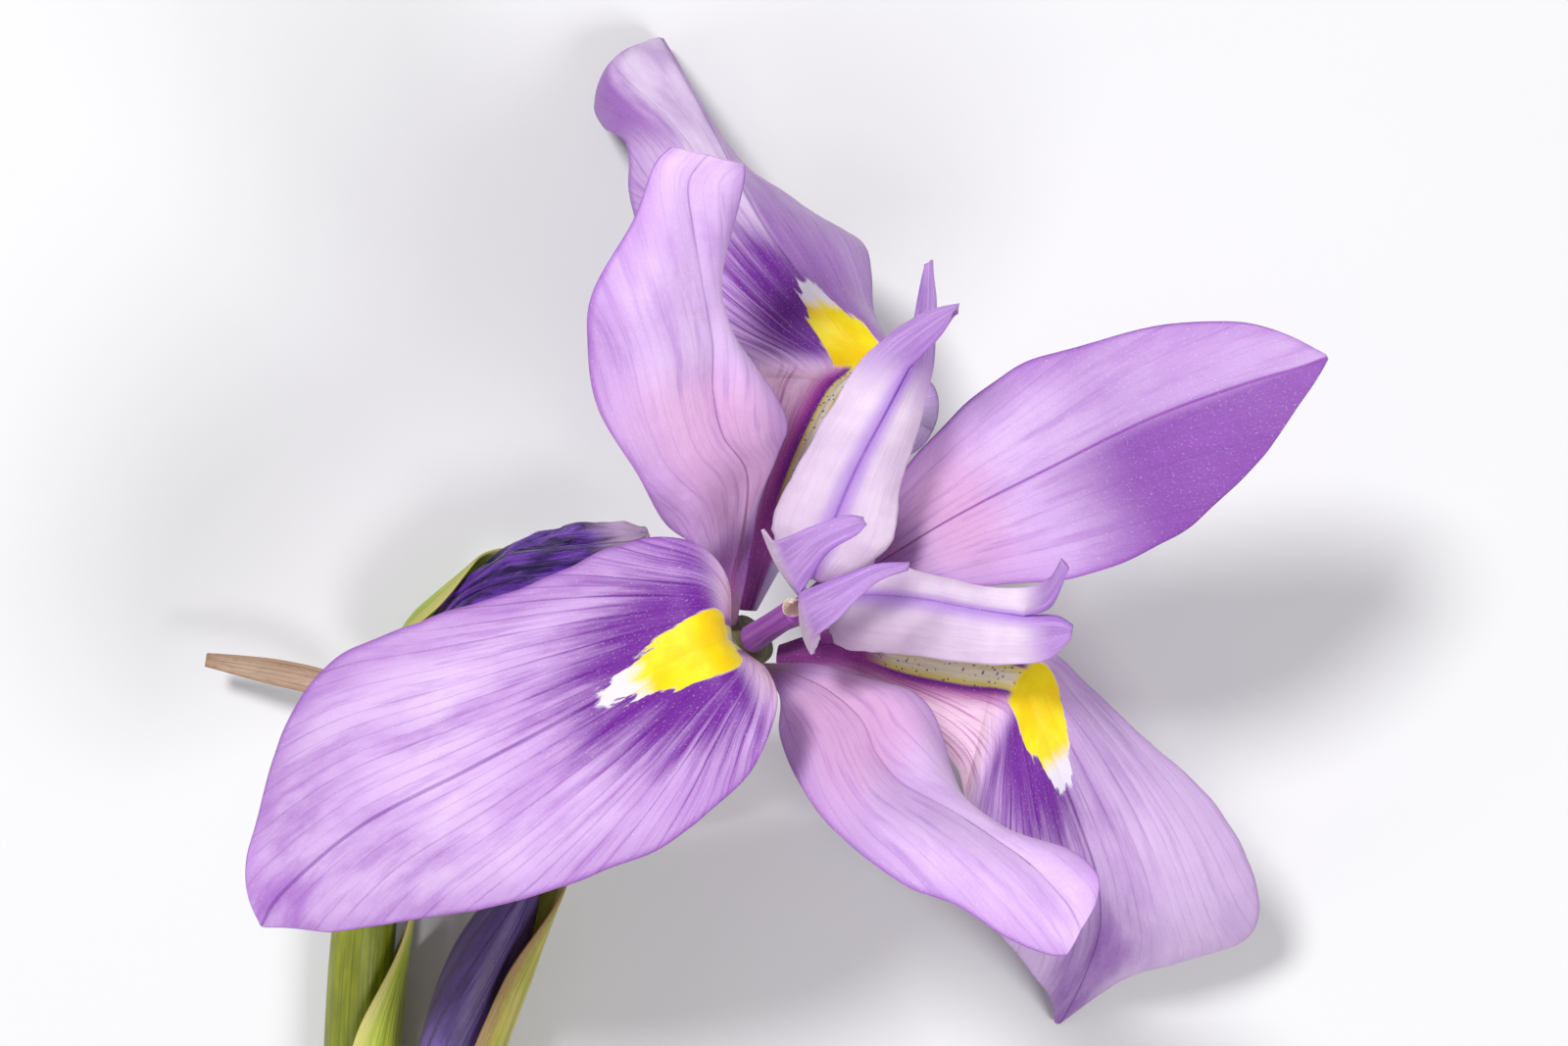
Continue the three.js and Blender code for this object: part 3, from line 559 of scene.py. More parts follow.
def outer_tepal_look(name, claw, long=1.0, strap=0.7, lobe=False, halo_left=1.0, halo_right=1.0,
                     painted_shade_and_light=0.0):
    """Broad limb with a yellow guide above the claw. `claw` is the claw's length in mm,
    `long` stretches the guide, `strap` is half the width of the dotted strip on the claw
    and `lobe` says whether the claw's right wing ends in a pale lobe; it also paints shade on the
    limb's right half and on the part that folds back by the tip, and a highlight along the crest
    line. The violet around the guide has its own strength to the left and to the right.
    `painted_shade_and_light` is the strength of painted shade in a dark violet patch along the
    midrib near the tip, with painted light that makes the limb paler away from that band."""
    k = Look(name)
    x, y, _ = k.uv("size")
    t, s, _ = k.uv("place")
    edge = k.math("ABSOLUTE", k.sub(k.mul(s, 2.0), 1.0))
    spot = k.point(x, y)
    broad = k.noise(spot, 0.16, 3.0)
    patch = k.noise(spot, 0.5, 3.0)
    line, spread, streak, fine = k.veined(x, y, claw - 0.5)
    # limb
    base = k.mix(k.ramp(broad, 0.2, 0.8), LILAC, LILAC_PALE)
    base = k.mix(k.mul(k.ramp(streak, 0.45, 0.72), 0.6), base, LILAC_MID)
    # deeper violet toward the tip: partly the limb's own colour, partly painted shade where the light falls
    # off toward the tip
    tip_tone_and_shade = k.mul(k.ramp(t, 0.66, 0.98), k.ramp(streak, 0.36, 0.62, 0.25, 1.0))
    base = k.mix(k.mul(tip_tone_and_shade, 0.9), base, LILAC_DEEP)
    base = k.mix(k.mul(k.ramp(edge, 0.62, 1.0), 0.55), base, LILAC_MID)
    base = k.mix(k.mul(k.ramp(edge, 0.94, 1.0), 0.7), base, LILAC_DEEP)
    low = k.ramp(k.sub(x, claw), -1.6, 0.6, 1.0, 0.0)
    line = k.mul(line, k.sub(1.0, low))
    base = k.mix(k.mul(line, k.ramp(x, claw + 3.0, claw + 16.0, 0.55, 0.32)), base, VEIN)
    base = k.mix(k.mul(k.ramp(fine, 0.48, 0.72), 0.36), base, LILAC_DEEP)
    if painted_shade_and_light:
        # painted light: the limb paler toward both margins, away from the band by the midrib
        base = k.mix(k.ramp(k.math("ABSOLUTE", k.sub(s, 0.62)), 0.16, 0.34, 0.0, 0.5), base, LILAC_PALE)
        # painted shade: a dark violet patch on the midrib near the tip, in the hollow of the limb
        near = k.mul(k.ramp(k.math("ABSOLUTE", k.sub(y, 1.0)), 0.5, 5.0, 1.0, 0.0), k.ramp(t, 0.66, 0.84))
        base = k.mix(k.mul(near, k.ramp(streak, 0.3, 0.6, 0.6, 1.0), painted_shade_and_light), base, colour(142, 78, 176))
    # midrib
    keel = k.ramp(k.math("ABSOLUTE", y), 0.03, 0.14, 1.0, 0.0)
    base = k.mix(k.mul(keel, 0.5), base, colour(132, 56, 178))
    # violet halo with streaks that run out along the veins
    ahead = k.sub(x, claw)
    beside = k.math("ABSOLUTE", y)
    onto = k.sub(ahead, 2.6)
    far = k.math("SQRT", k.add(k.mul(onto, onto, 0.045), k.mul(beside, beside, 0.1)))
    far = k.sub(far, k.mul(k.sub(streak, 0.42), 2.4))
    far = k.sub(far, k.mul(k.sub(fine, 0.45), 1.2))
    far = k.sub(far, k.mul(line, 0.35))
    halo = k.ramp(far, 0.5, 1.9, 1.0, 0.0)
    past_claw = k.ramp(ahead, -0.6, 1.0)
    halo = k.mul(halo, past_claw)
    share = k.ramp(y, -0.7, 0.7, halo_left, halo_right)
    base = k.mix(k.mul(k.ramp(far, 1.2, 3.2, 1.0, 0.0), past_claw, share, 0.4), base, LILAC_DEEP)
    base = k.mix(k.mul(halo, share, 0.95), base, VIOLET)
    # claw: pink wings, magenta by the middle, cream strip with dark dots. The wings' pale pink is partly
    # their own colour, partly painted light that lifts them out of the shade they sit in
    wing = k.mix(k.ramp(beside, 0.7, 2.2), colour(190, 70, 176), colour(255, 222, 244))
    wing_line = k.noise(k.point(k.mul(x, 0.09), k.mul(s, 46.0)), 1.0, 3.0, 0.6)
    wing = k.mix(k.mul(k.ramp(wing_line, 0.50, 0.60), 0.55), wing, colour(184, 60, 172))
    wing = k.mix(k.ramp(x, 2.0, 9.0, 0.7, 0.0), wing, colour(140, 60, 150))
    if lobe:
        # painted shade on the limb's right half, which falls away behind the crest line
        base = k.mix(k.mul(k.ramp(s, 0.49, 0.53), k.ramp(ahead, 0.0, 4.0), 0.6), base, LILAC_DEEP)
        # painted highlight: a pale strip along the crest line of the fold, where it catches the light
        crest_highlight = k.mul(k.ramp(s, 0.26, 0.32), k.ramp(s, 0.47, 0.52, 1.0, 0.0))
        crest_highlight = k.mul(crest_highlight, k.ramp(ahead, 7.0, 13.0), k.ramp(streak, 0.3, 0.6, 0.8, 0.45))
        base = k.mix(crest_highlight, base, colour(246, 230, 252))
        # painted shade on the part that folds back left of the tip
        flap_shade = k.mul(k.ramp(s, 0.19, 0.25, 1.0, 0.0), k.ramp(t, 0.72, 0.80), 0.85)
        base = k.mix(flap_shade, base, LILAC_DEEP)
        wing = k.mix(k.mul(k.ramp(s, 0.62, 0.78), 0.85), wing, colour(214, 202, 236))
    base = k.mix(low, base, wing)
    strip = k.ramp(beside, strap, strap + 0.2, 1.0, 0.0)
    strip = k.mul(strip, k.ramp(x, claw * 0.35, claw * 0.5), k.ramp(ahead, 0.2, 1.4, 1.0, 0.0))
    margin = k.ramp(beside, strap + 0.2, strap + 0.7, 1.0, 0.0)
    margin = k.mul(margin, k.ramp(x, claw * 0.35, claw * 0.5), k.ramp(ahead, -0.4, 1.0, 1.0, 0.0))
    base = k.mix(k.mul(margin, 0.85), base, VIOLET)
    dot = k.ramp(k.cells(spot, 3.4), 0.16, 0.30, 1.0, 0.0)
    tint = k.mix(k.ramp(beside, 0.1, strap), CREAM, colour(236, 222, 120))
    dotted = k.mix(k.mul(dot, 0.8), tint, colour(90, 50, 96))
    base = k.mix(strip, base, dotted)
    # the guide: yellow wedge that ends in white streaks
    ragged = k.mul(k.sub(k.noise(k.point(k.mul(x, 0.5), k.mul(y, 2.6)), 1.0, 3.0, 0.6), 0.5), 1.5)
    onward = k.mul(ahead, 1.0 / long)
    body = k.ramp(onward, 1.0, 8.4, 1.8, 0.5)
    body = k.mul(body, k.ramp(ahead, -0.9, 0.5, 0.7, 1.0))
    wedge = k.sub(k.add(body, k.mul(ragged, k.ramp(onward, 0.0, 6.0, 0.22, 1.0))), beside)
    front = k.sub(8.2, k.add(onward, k.mul(ragged, 1.7)))
    guide = k.mul(k.ramp(wedge, 0.0, 0.14), k.ramp(front, 0.0, 0.5), k.ramp(ahead, -0.6, -0.1))
    pale = k.add(k.ramp(k.add(onward, k.mul(ragged, 1.9)), 4.6, 6.4), k.ramp(wedge, 0.16, 0.02))
    pale = k.math("MINIMUM", pale, 1.0)
    yellow = k.mix(k.ramp(patch, 0.35, 0.7), YELLOW, AMBER)
    yellow = k.mix(k.mul(k.ramp(patch, 0.5, 0.4), 0.5), yellow, colour(255, 238, 40))
    yellow = k.mix(pale, yellow, WHITE)
    over = k.sub(1.0, k.attribute("beneath"))
    guide = k.mul(guide, over)
    base = k.mix(guide, base, yellow)
    cell, glint = k.speckle(x, y)
    # painted glints: white mixed into the colour where the cells catch the light
    base = k.mix(k.mul(glint, 0.35, k.sub(1.0, guide)), base, WHITE)
    crepe = k.noise(k.point(k.mul(spread, 8.0), k.mul(x, 1.3)), 1.0, 3.0, 0.6)
    height = k.sub(k.mul(streak, 0.5), k.mul(line, 0.25))
    height = k.add(height, k.add(k.mul(fine, 0.45), k.mul(crepe, 0.55)))
    height = k.sub(height, k.mul(keel, 0.5))
    height = k.mul(height, k.sub(1.0, k.mul(guide, 0.8)))
    normal = k.bump(height, 0.00012, 0.9)
    normal = k.bump(cell, 0.00003, 0.8, normal)
    return k.finish(base, 0.46, normal, through_light=0.30, sheen=0.25, specular=0.35)


def inner_tepal_look(name, origin, glow_from, glow_to, painted_shade=0.0, rib=0.7, rib_to=60.0):
    """Plain petal with painted light low on its face: a pink light shining through the petal
    between `glow_from` and `glow_to`, and painted shadow below that, near the foot. `origin` is
    where the veins leave the midrib, `painted_shade` is the strength of painted shade on the half
    toward the right of the tip, and `rib` is the strength of the midrib, which fades by `rib_to`.
    Lengths in mm."""
    k = Look(name)
    x, y, _ = k.uv("size")
    t, s, _ = k.uv("place")
    edge = k.math("ABSOLUTE", k.sub(k.mul(s, 2.0), 1.0))
    spot = k.point(x, y)
    broad = k.noise(spot, 0.16, 3.0)
    line, spread, streak, fine = k.veined(x, y, origin)
    base = k.mix(k.ramp(broad, 0.2, 0.8), LILAC, LILAC_PALE)
    base = k.mix(k.mul(k.ramp(streak, 0.42, 0.72), 0.5), base, LILAC_MID)
    base = k.mix(k.mul(k.ramp(edge, 0.6, 1.0), 0.5), base, LILAC_MID)
    base = k.mix(k.mul(k.ramp(edge, 0.93, 1.0), 0.7), base, LILAC_DEEP)
    # painted shade on the half toward the right of the tip
    if painted_shade:
        shade = k.mul(k.ramp(t, 0.44, 0.6), k.ramp(s, 0.44, 0.56, 0.35, 1.0), painted_shade)
        base = k.mix(shade, base, colour(140, 74, 172))
    # painted light: pink where light shines through the petal, low on its face
    painted_glow = k.mul(k.ramp(x, glow_from, glow_from + 3.0), k.ramp(x, glow_to - 4.0, glow_to, 1.0, 0.0))
    painted_glow = k.mul(painted_glow, k.ramp(edge, 0.4, 0.95, 1.0, 0.25))
    base = k.mix(k.mul(painted_glow, 0.6), base, GLOW_PINK)
    # painted shadow near the foot, below the pink light
    low = k.ramp(x, glow_from - 1.5, glow_from + 2.5, 1.0, 0.0)
    base = k.mix(k.mul(low, 0.8), base, colour(150, 74, 160))
    foot = k.ramp(x, 1.0, 4.0, 0.6, 0.0)
    base = k.mix(foot, base, colour(170, 140, 110))
    base = k.mix(k.mul(line, 0.18), base, colour(132, 56, 178))
    base = k.mix(k.mul(k.ramp(fine, 0.48, 0.72), 0.34), base, LILAC_DEEP)
    keel = k.ramp(k.math("ABSOLUTE", y), 0.02, 0.12, 1.0, 0.0)
    tone = k.mix(k.ramp(x, 6.0, 18.0), colour(164, 66, 130), colour(156, 58, 190))
    base = k.mix(k.mul(keel, rib, k.ramp(x, rib_to - 8.0, rib_to, 1.0, 0.15)), base, tone)
    crepe = k.noise(k.point(k.mul(spread, 8.0), k.mul(x, 1.3)), 1.0, 3.0, 0.6)
    cell, glint = k.speckle(x, y)
    # painted glints: white mixed into the colour where the cells catch the light
    base = k.mix(k.mul(glint, 0.35), base, WHITE)
    height = k.sub(k.mul(streak, 0.5), k.mul(line, 0.12))
    height = k.add(height, k.add(k.mul(fine, 0.45), k.mul(crepe, 0.55)))
    height = k.sub(height, k.mul(keel, rib, 0.5))
    normal = k.bump(height, 0.00012, 0.9)
    normal = k.bump(cell, 0.00003, 0.8, normal)
    return k.finish(base, 0.46, normal, through_light=0.30, sheen=0.25, specular=0.35)


def style_look(name, crest_from, crest_to, band=0.22):
    """White at the margins with a purple band on the midline; lilac crests."""
    k = Look(name)
    x, y, _ = k.uv("size")
    t, s, _ = k.uv("place")
    spot = k.point(x, y)
    streak = k.noise(k.point(k.mul(x, 0.16), k.mul(s, 9.0)), 1.0, 4.0, 0.6)
    broad = k.noise(spot, 0.35, 3.0)
    base = k.mix(k.ramp(broad, 0.35, 0.65), colour(238, 224, 238), colour(226, 208, 230))
    base = k.mix(k.mul(k.ramp(streak, 0.48, 0.68), 0.35), base, colour(220, 194, 232))
    middle = k.ramp(k.add(s, k.mul(k.sub(streak, 0.5), 0.12)), 0.0, band * 1.5, 1.0, 0.0)
    base = k.mix(k.mul(middle, 0.85), base, colour(182, 134, 222))
    centre = k.ramp(s, 0.0, 0.05, 1.0, 0.0)
    base = k.mix(k.mul(centre, 0.5), base, colour(136, 74, 196))
    crest = k.ramp(k.add(t, k.mul(k.sub(streak, 0.5), 0.08)), crest_from, crest_to)
    tone = k.mix(k.ramp(streak, 0.4, 0.65), colour(162, 110, 196), colour(194, 148, 220))
    base = k.mix(k.mul(crest, 0.85), base, tone)
    foot = k.ramp(x, 0.0, 2.2, 0.7, 0.0)
    base = k.mix(foot, base, colour(168, 110, 190))
    cell, glint = k.speckle(x, y)
    # painted glints: white mixed into the colour where the cells catch the light
    base = k.mix(k.mul(glint, 0.3), base, WHITE)
    normal = k.bump(streak, 0.00010, 0.8)
    normal = k.bump(cell, 0.00002, 0.7, normal)
    return k.finish(base, 0.44, normal, through_light=0.28, sheen=0.2, specular=0.35)


def stalk_look(name, tones, lines=20.0, purple=0.0, roughness=0.45, length_scale=0.12,
               depth=0.00008, through_light=0.0):
    """Round stalks: fine ribs that run along, with two tones and, if `purple` is set, darker purple towards
    the top.
    """
    k = Look(name)
    x, turn, _ = k.uv("size")
    t, s, _ = k.uv("place")
    ring_x = k.math("COSINE", turn)
    ring_y = k.math("SINE", turn)
    place = k.point(k.mul(ring_x, 1.0), k.mul(ring_y, 1.0), k.mul(x, length_scale))
    broad = k.noise(place, 1.6, 3.0)
    close = lines * 0.35
    rib = k.noise(k.point(k.mul(ring_x, close), k.mul(ring_y, close), k.mul(x, 0.08)), 1.0, 3.0, 0.6)
    mottle = k.noise(k.point(k.mul(ring_x, 5.0), k.mul(ring_y, 5.0), k.mul(x, 2.4)), 1.0, 4.0, 0.6)
    base = k.mix(k.ramp(broad, 0.35, 0.66), tones[0], tones[1])
    base = k.mix(k.mul(k.ramp(rib, 0.46, 0.66), 0.6), base, tones[2])
    base = k.mix(k.mul(k.ramp(mottle, 0.55, 0.75), 0.25), base, tones[1])
    if purple:
        # darker purple towards the top
        darker_top = k.ramp(k.add(t, k.mul(k.sub(broad, 0.5), 0.3)), 0.72, 1.0)
        base = k.mix(k.mul(darker_top, purple), base, colour(84, 40, 84))
    height = k.add(k.mul(rib, 1.0), k.mul(mottle, 0.35))
    normal = k.bump(height, depth, 0.9)
    return k.finish(base, roughness, normal, through_light=through_light, sheen=0.1, specular=0.4)


def leaf_look(name, tones, margin, lines=16.0, through_light=0.22, roughness=0.45, dry=0.0):
    """Sheathing leaves and spathes: ribs along the length, thin pale margins."""
    k = Look(name)
    x, y, _ = k.uv("size")
    t, s, _ = k.uv("place")
    edge = k.math("ABSOLUTE", k.sub(k.mul(s, 2.0), 1.0))
    rib = k.noise(k.point(k.mul(s, lines), k.mul(x, 0.05)), 1.0, 3.0, 0.65)
    broad = k.noise(k.point(k.mul(x, 0.18), k.mul(y, 0.4)), 1.0, 3.0)
    mottle = k.noise(k.point(k.mul(x, 1.2), k.mul(y, 4.0)), 1.0, 4.0, 0.6)
    base = k.mix(k.ramp(broad, 0.32, 0.68), tones[0], tones[1])
    base = k.mix(k.mul(k.ramp(rib, 0.46, 0.64), 0.65), base, tones[2])
    base = k.mix(k.mul(k.ramp(k.add(edge, k.mul(k.sub(mottle, 0.5), 0.25)), 0.72, 0.96), 0.85), base, margin)
    base = k.mix(k.mul(k.ramp(k.add(t, k.mul(k.sub(mottle, 0.5), 0.2)), 0.82, 1.0), 0.7), base, margin)
    if dry:
        base = k.mix(k.mul(k.ramp(mottle, 0.5, 0.7), dry), base, tones[2])
    height = k.add(rib, k.mul(mottle, 0.3))
    normal = k.bump(height, 0.00014, 0.9)
    return k.finish(base, roughness, normal, through_light=through_light, sheen=0.05, specular=0.4)


def plain_look(name, tone, second, size=2.0, roughness=0.6, depth=0.00006):
    """Two mottled tones with a fine grain."""
    k = Look(name)
    where = k.body()
    n = k.noise(where, size * 1000, 3.0, 0.6)
    base = k.mix(k.ramp(n, 0.35, 0.65), tone, second)
    normal = k.bump(n, depth, 0.8)
    return k.finish(base, roughness, normal)


def withered_look(name):
    """Crumpled dark petals with paler folds and a bleached tip."""
    k = Look(name)
    x, turn, _ = k.uv("size")
    where = k.body()
    around = k.point(k.mul(k.math("COSINE", turn), 3.4), k.mul(k.math("SINE", turn), 3.4), k.mul(x, 0.35))
    fold = k.noise(around, 1.4, 4.0, 0.6)
    broad = k.noise(where, 320.0, 3.0, 0.5)
    base = k.mix(k.ramp(fold, 0.38, 0.62), colour(34, 8, 70), colour(92, 42, 150))
    base = k.mix(k.mul(k.ramp(broad, 0.55, 0.72), 0.6), base, colour(150, 104, 160))
    base = k.mix(k.mul(k.ramp(x, 10.5, 13.0), 0.8), base, colour(196, 170, 200))
    normal = k.bump(k.add(fold, k.mul(broad, 0.6)), 0.00030, 1.0)
    return k.finish(base, 0.5, normal, through_light=0.1, sheen=0.2)


# ---------------------------------------------------------------- the pieces
RING = 1.75  # mm, the ring on the ovary where the six tepals stand


def place_piece(piece, node):
    """Ties a piece to the frame and hides the imported part of the node that it stands for."""
    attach(piece, "root")
    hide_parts(node)


# ---- outer tepals ----
LEFT_CLAW = 15.8  # mm
outer_left = outer_tepal_look("outer_tepal_left", LEFT_CLAW)
place_piece(blade(
    "outer_tepal_left_visual",
    [ring_point(180, RING, 0.3) + [0.6, 0.6, -5, -5, 0, 0],
     [-3.2, -7.3, 24.5, 1.0, 1.0, -15, -15, -10, -10],
     [-2.9, -6.4, 31.5, 2.2, 2.2, -20, -20, -20, -20],
     [-3.6, -6.2, 35.2, 6.0, 5.8, -8, -8, 10, 10],
     [-6.4, -7.5, 35.6, 7.7, 7.3, 6, 6, 20, 20],
     [-11.2, -10.1, 33.7, 8.4, 7.8, 6, 8, 16, 22],
     [-16.6, -13.0, 31.0, 7.8, 8.8, 6, 8, 14, 22],
     [-22.6, -16.2, 27.2, 6.4, 8.6, 5, 8, 14, 18],
     [-27.2, -20.0, 23.5, 3.4, 3.6, 4, 6, 8, 10],
     [-28.7, -22.1, 22.0, 0.2, 0.2, 0, 0, 0, 0]],
    [[0.82, 0.57, 0.04], [0.82, 0.57, 0.04], [0.6, 0.4, 0.6], [-0.2, 0, 1],
     [-0.2, 0, 1], [-0.2, 0, 1], [-0.25, -0.1, 1], [-0.3, -0.1, 1], [-0.4, -0.2, 1]],
    outer_left, rows=200, half=44, ripple=0.2, seed=1, fan=LEFT_CLAW - 0.5, relief=0.018),
    "outer_tepal_left")
UPPER = [
    [-2.05, -4.86, 17.2, -2.55, -4.83, 17.5, -1.55, -4.9, 16.9, 0, 0],
    [-0.8, -0.9, 18.5, -2.6, -0.9, 19.6, 0.7, -1.1, 17.8, -0.1, -0.1],
    [0.8, 3.4, 20.5, -2.6, 3.4, 22, 3.6, 2.4, 20.4, -0.3, -0.3],
    [2.7, 7.1, 23, -2.7, 7.4, 23.6, 7.6, 4.2, 21.8, -0.3, -0.3],
    [4.2, 8.8, 24.3, -2.9, 9.1, 23.4, 8.4, 7.2, 22.8, 0.1, 0.2],
    [3, 10.6, 24.4, -5.4, 11, 21.6, 6, 9.9, 22.8, 0.4, 0.5],
    [1.2, 12.9, 23.4, -7.3, 14, 19, 4.9, 11.7, 19.4, 0.6, 0.5],
    [-0.5, 15.3, 21.5, -8.3, 16.9, 16.6, 4.7, 15.6, 14.2, 0.7, 0.7],
    [-2.1, 18.2, 18.5, -8.8, 18.9, 14, 2, 17.4, 10.2, 0.7, 0.7],
    [-3.3, 20.7, 14.8, -9, 21.7, 10.8, -2.3, 19.7, 6.4, 0.7, 0.5],
    [-5, 24.3, 9.5, -10.7, 23.4, 4.6, -5.6, 24.3, 3, 1.7, 0.4],
    [-6.5, 27.2, 5.6, -11.3, 25.4, 1.8, -6.9, 27, 0.9, 1.6, 0.2],
    [-7.3, 28.8, 2.4, -8.8, 28, 1.4, -7.3, 28.6, 0.3, 0.2, 0]]
claw = length_to(UPPER, 4)
place_piece(draped("outer_tepal_upper_visual", UPPER,
                   outer_tepal_look("outer_tepal_upper", claw, 0.72, 0.3, True, 1.0, 0.5),
                   seed=2, fan=claw - 0.5), "outer_tepal_upper")
LOWER_RIGHT = [
    [-0.32, -7.34, 17.2, -0.22, -6.87, 16.86, -0.42, -7.81, 17.54, 0, 0],
    [3, -6.7, 19.2, 3.3, -5.7, 19.7, 3, -9, 20.2, -0.1, -0.1],
    [6.8, -7.6, 21.2, 7.3, -5.9, 21.6, 7, -11, 22.2, -0.2, -0.3],
    [9.9, -8.1, 22.8, 10.8, -6.1, 23, 9.4, -13.4, 22.6, -0.2, -0.5],
    [13, -8.7, 24, 14.6, -7, 23.2, 10, -16.2, 21.6, 0, -0.3],
    [14, -11.1, 23.8, 16.8, -9, 21.8, 10.2, -18.4, 20.4, 0.4, 0.3],
    [15.3, -14.2, 22.2, 19.9, -11.8, 18.8, 10.8, -20.3, 18.8, 0.8, 0.8],
    [16.6, -17.2, 19.3, 24.4, -16, 14.6, 11.9, -22.5, 15, 1, 1],
    [17.7, -20.3, 15.5, 27.3, -21, 10, 13, -24.4, 11.2, 1, 0.9],
    [18.1, -23.5, 10.5, 27, -24.6, 6.2, 14.6, -26.6, 7.2, 0.8, 0.6],
    [17.5, -26.8, 5.6, 21.2, -26.6, 2.6, 15.8, -28.2, 3.8, 0.3, 0.3],
    [16.5, -29.9, 0.4, 16.8, -29.7, 0.3, 16.2, -29.9, 0.4, 0, 0]]
claw = length_to(LOWER_RIGHT, 4)
place_piece(draped("outer_tepal_lower_right_visual", LOWER_RIGHT,
                   outer_tepal_look("outer_tepal_lower_right", claw, 0.86, 0.6, False, 0.3, 1.0, 0.85),
                   seed=3, fan=claw - 0.5), "outer_tepal_lower_right")

# ---- inner tepals ----
place_piece(blade(
    "inner_tepal_right_visual",
    [ring_point(0, RING, 0.3) + [0.6, 0.6, 0, 0, 0, 0],
     [2.2, -4.2, 18.6, 1.0, 1.0, -10, -10, -20, -20],
     [6.0, -1.7, 20.6, 2.2, 2.4, -10, -10, -20, -20],
     [10.0, 0.7, 23.2, 4.3, 4.5, -8, -8, -16, -16],
     [14.6, 3.1, 26.4, 5.6, 6.2, -6, -6, 6, 6],
     [19.6, 5.6, 29.0, 4.8, 6.0, -6, -4, 14, 14],
     [24.2, 7.3, 30.4, 3.6, 4.0, -6, -4, 14, 14],
     [27.2, 8.2, 30.6, 1.9, 1.5, -4, -4, 8, 8],
     [28.8, 8.8, 30.6, 0.15, 0.15, 0, 0, 0, 0]],
    [[-0.5, -0.35, 0.8], [-0.3, -0.2, 0.9], [-0.1, 0, 1], [0, 0, 1], [0, 0, 1]],
    inner_tepal_look("inner_tepal_right", 5.0, 9.5, 18.0, painted_shade=0.95),
    rows=170, half=36, ripple=0.12, seed=4, fan=5.0, relief=0.012),
    "inner_tepal_right")
UPPER_LEFT = [
    [-3.18, -5.65, 18.27, -3.69, -5.73, 18.46, -2.67, -5.57, 18.08, 0, 0],
    [-2.8, -3, 21.2, -3.6, -2.9, 21.6, -2.1, -3.1, 20.9, -0.1, -0.1],
    [-2.2, 0.3, 24.5, -4.4, -1.5, 25.2, -1.4, 0.9, 23.7, -0.2, -0.1],
    [-2.1, 2.9, 27.2, -6.3, -0.1, 28.2, -0.5, 3.5, 25.8, 0, 0.4],
    [-3.3, 4.7, 29.5, -7.9, 2.8, 31.2, 0.25, 5.2, 27.2, 0.6, 0.7],
    [-3.8, 6.9, 31.5, -9.7, 6, 34, -0.5, 6.8, 29.2, 0.9, 0.9],
    [-3.8, 9.4, 33.5, -10.2, 9.3, 36, -2.4, 9.3, 31.6, 1, 0.6],
    [-4.2, 11.9, 35.4, -9.9, 11.8, 37.4, -3.3, 12.1, 33.6, 0.9, 0.4],
    [-4.7, 15, 37.4, -7.8, 15.3, 38.4, -2.7, 15.3, 36.2, 0.5, 0.4],
    [-4.9, 17.4, 38.6, -6.7, 18.2, 39, -2.05, 17.5, 38, 0.3, 0.2],
    [-3.9, 18.8, 39, -5.8, 19.2, 39, -2, 18.3, 38.7, 0.1, 0.1]]
place_piece(draped("inner_tepal_upper_left_visual", UPPER_LEFT,
                   inner_tepal_look("inner_tepal_upper_left", 4.0, 7.0, 22.0, rib=0.55, rib_to=26.0),
                   rows=180, half=36, seed=5, fan=4.0, relief=0.007), "inner_tepal_upper_left")
LOWER = [
    [-1.45, -8.13, 18.27, -0.97, -7.86, 18.03, -1.93, -8.4, 18.51, 0, 0],
    [0.8, -8.5, 22.5, 1.9, -7.8, 22.2, -0.3, -9.3, 22.9, 0, 0.1],
    [2.6, -9.3, 25.5, 4.6, -8.4, 24.8, -0.2, -11.2, 26.4, 0.4, 0.4],
    [4.2, -10.7, 28, 6.7, -9, 26.6, 0.6, -13.4, 29.6, 0.8, 0.6],
    [4.9, -12.3, 30, 8.1, -10.6, 28, 2, -15.4, 32.6, 1.1, 0.9],
    [6, -13.6, 32, 9, -13, 30.2, 4.1, -17.3, 35, 1, 1],
    [8, -14.7, 34, 9.8, -14.8, 33.2, 6.3, -18.7, 37, 0.5, 1],
    [10.2, -16, 35.9, 11.8, -16.2, 35.4, 8.7, -19.5, 38.2, 0.3, 0.9],
    [12.6, -17.6, 37.4, 14.7, -16.9, 37, 11.3, -21.2, 38.6, 0.2, 0.7],
    [14.4, -19.4, 38.4, 16.1, -18.1, 38, 13.5, -22.1, 38.6, 0.1, 0.3],
    [15.2, -20.8, 38.6, 16, -19.5, 38.4, 14.5, -22.1, 38.5, 0, 0]]
place_piece(draped("inner_tepal_lower_visual", LOWER,
                   inner_tepal_look("inner_tepal_lower", 4.0, 5.0, 18.0, rib=0.4, rib_to=20.0),
                   rows=180, half=36, seed=6, fan=4.0, relief=0.007), "inner_tepal_lower")

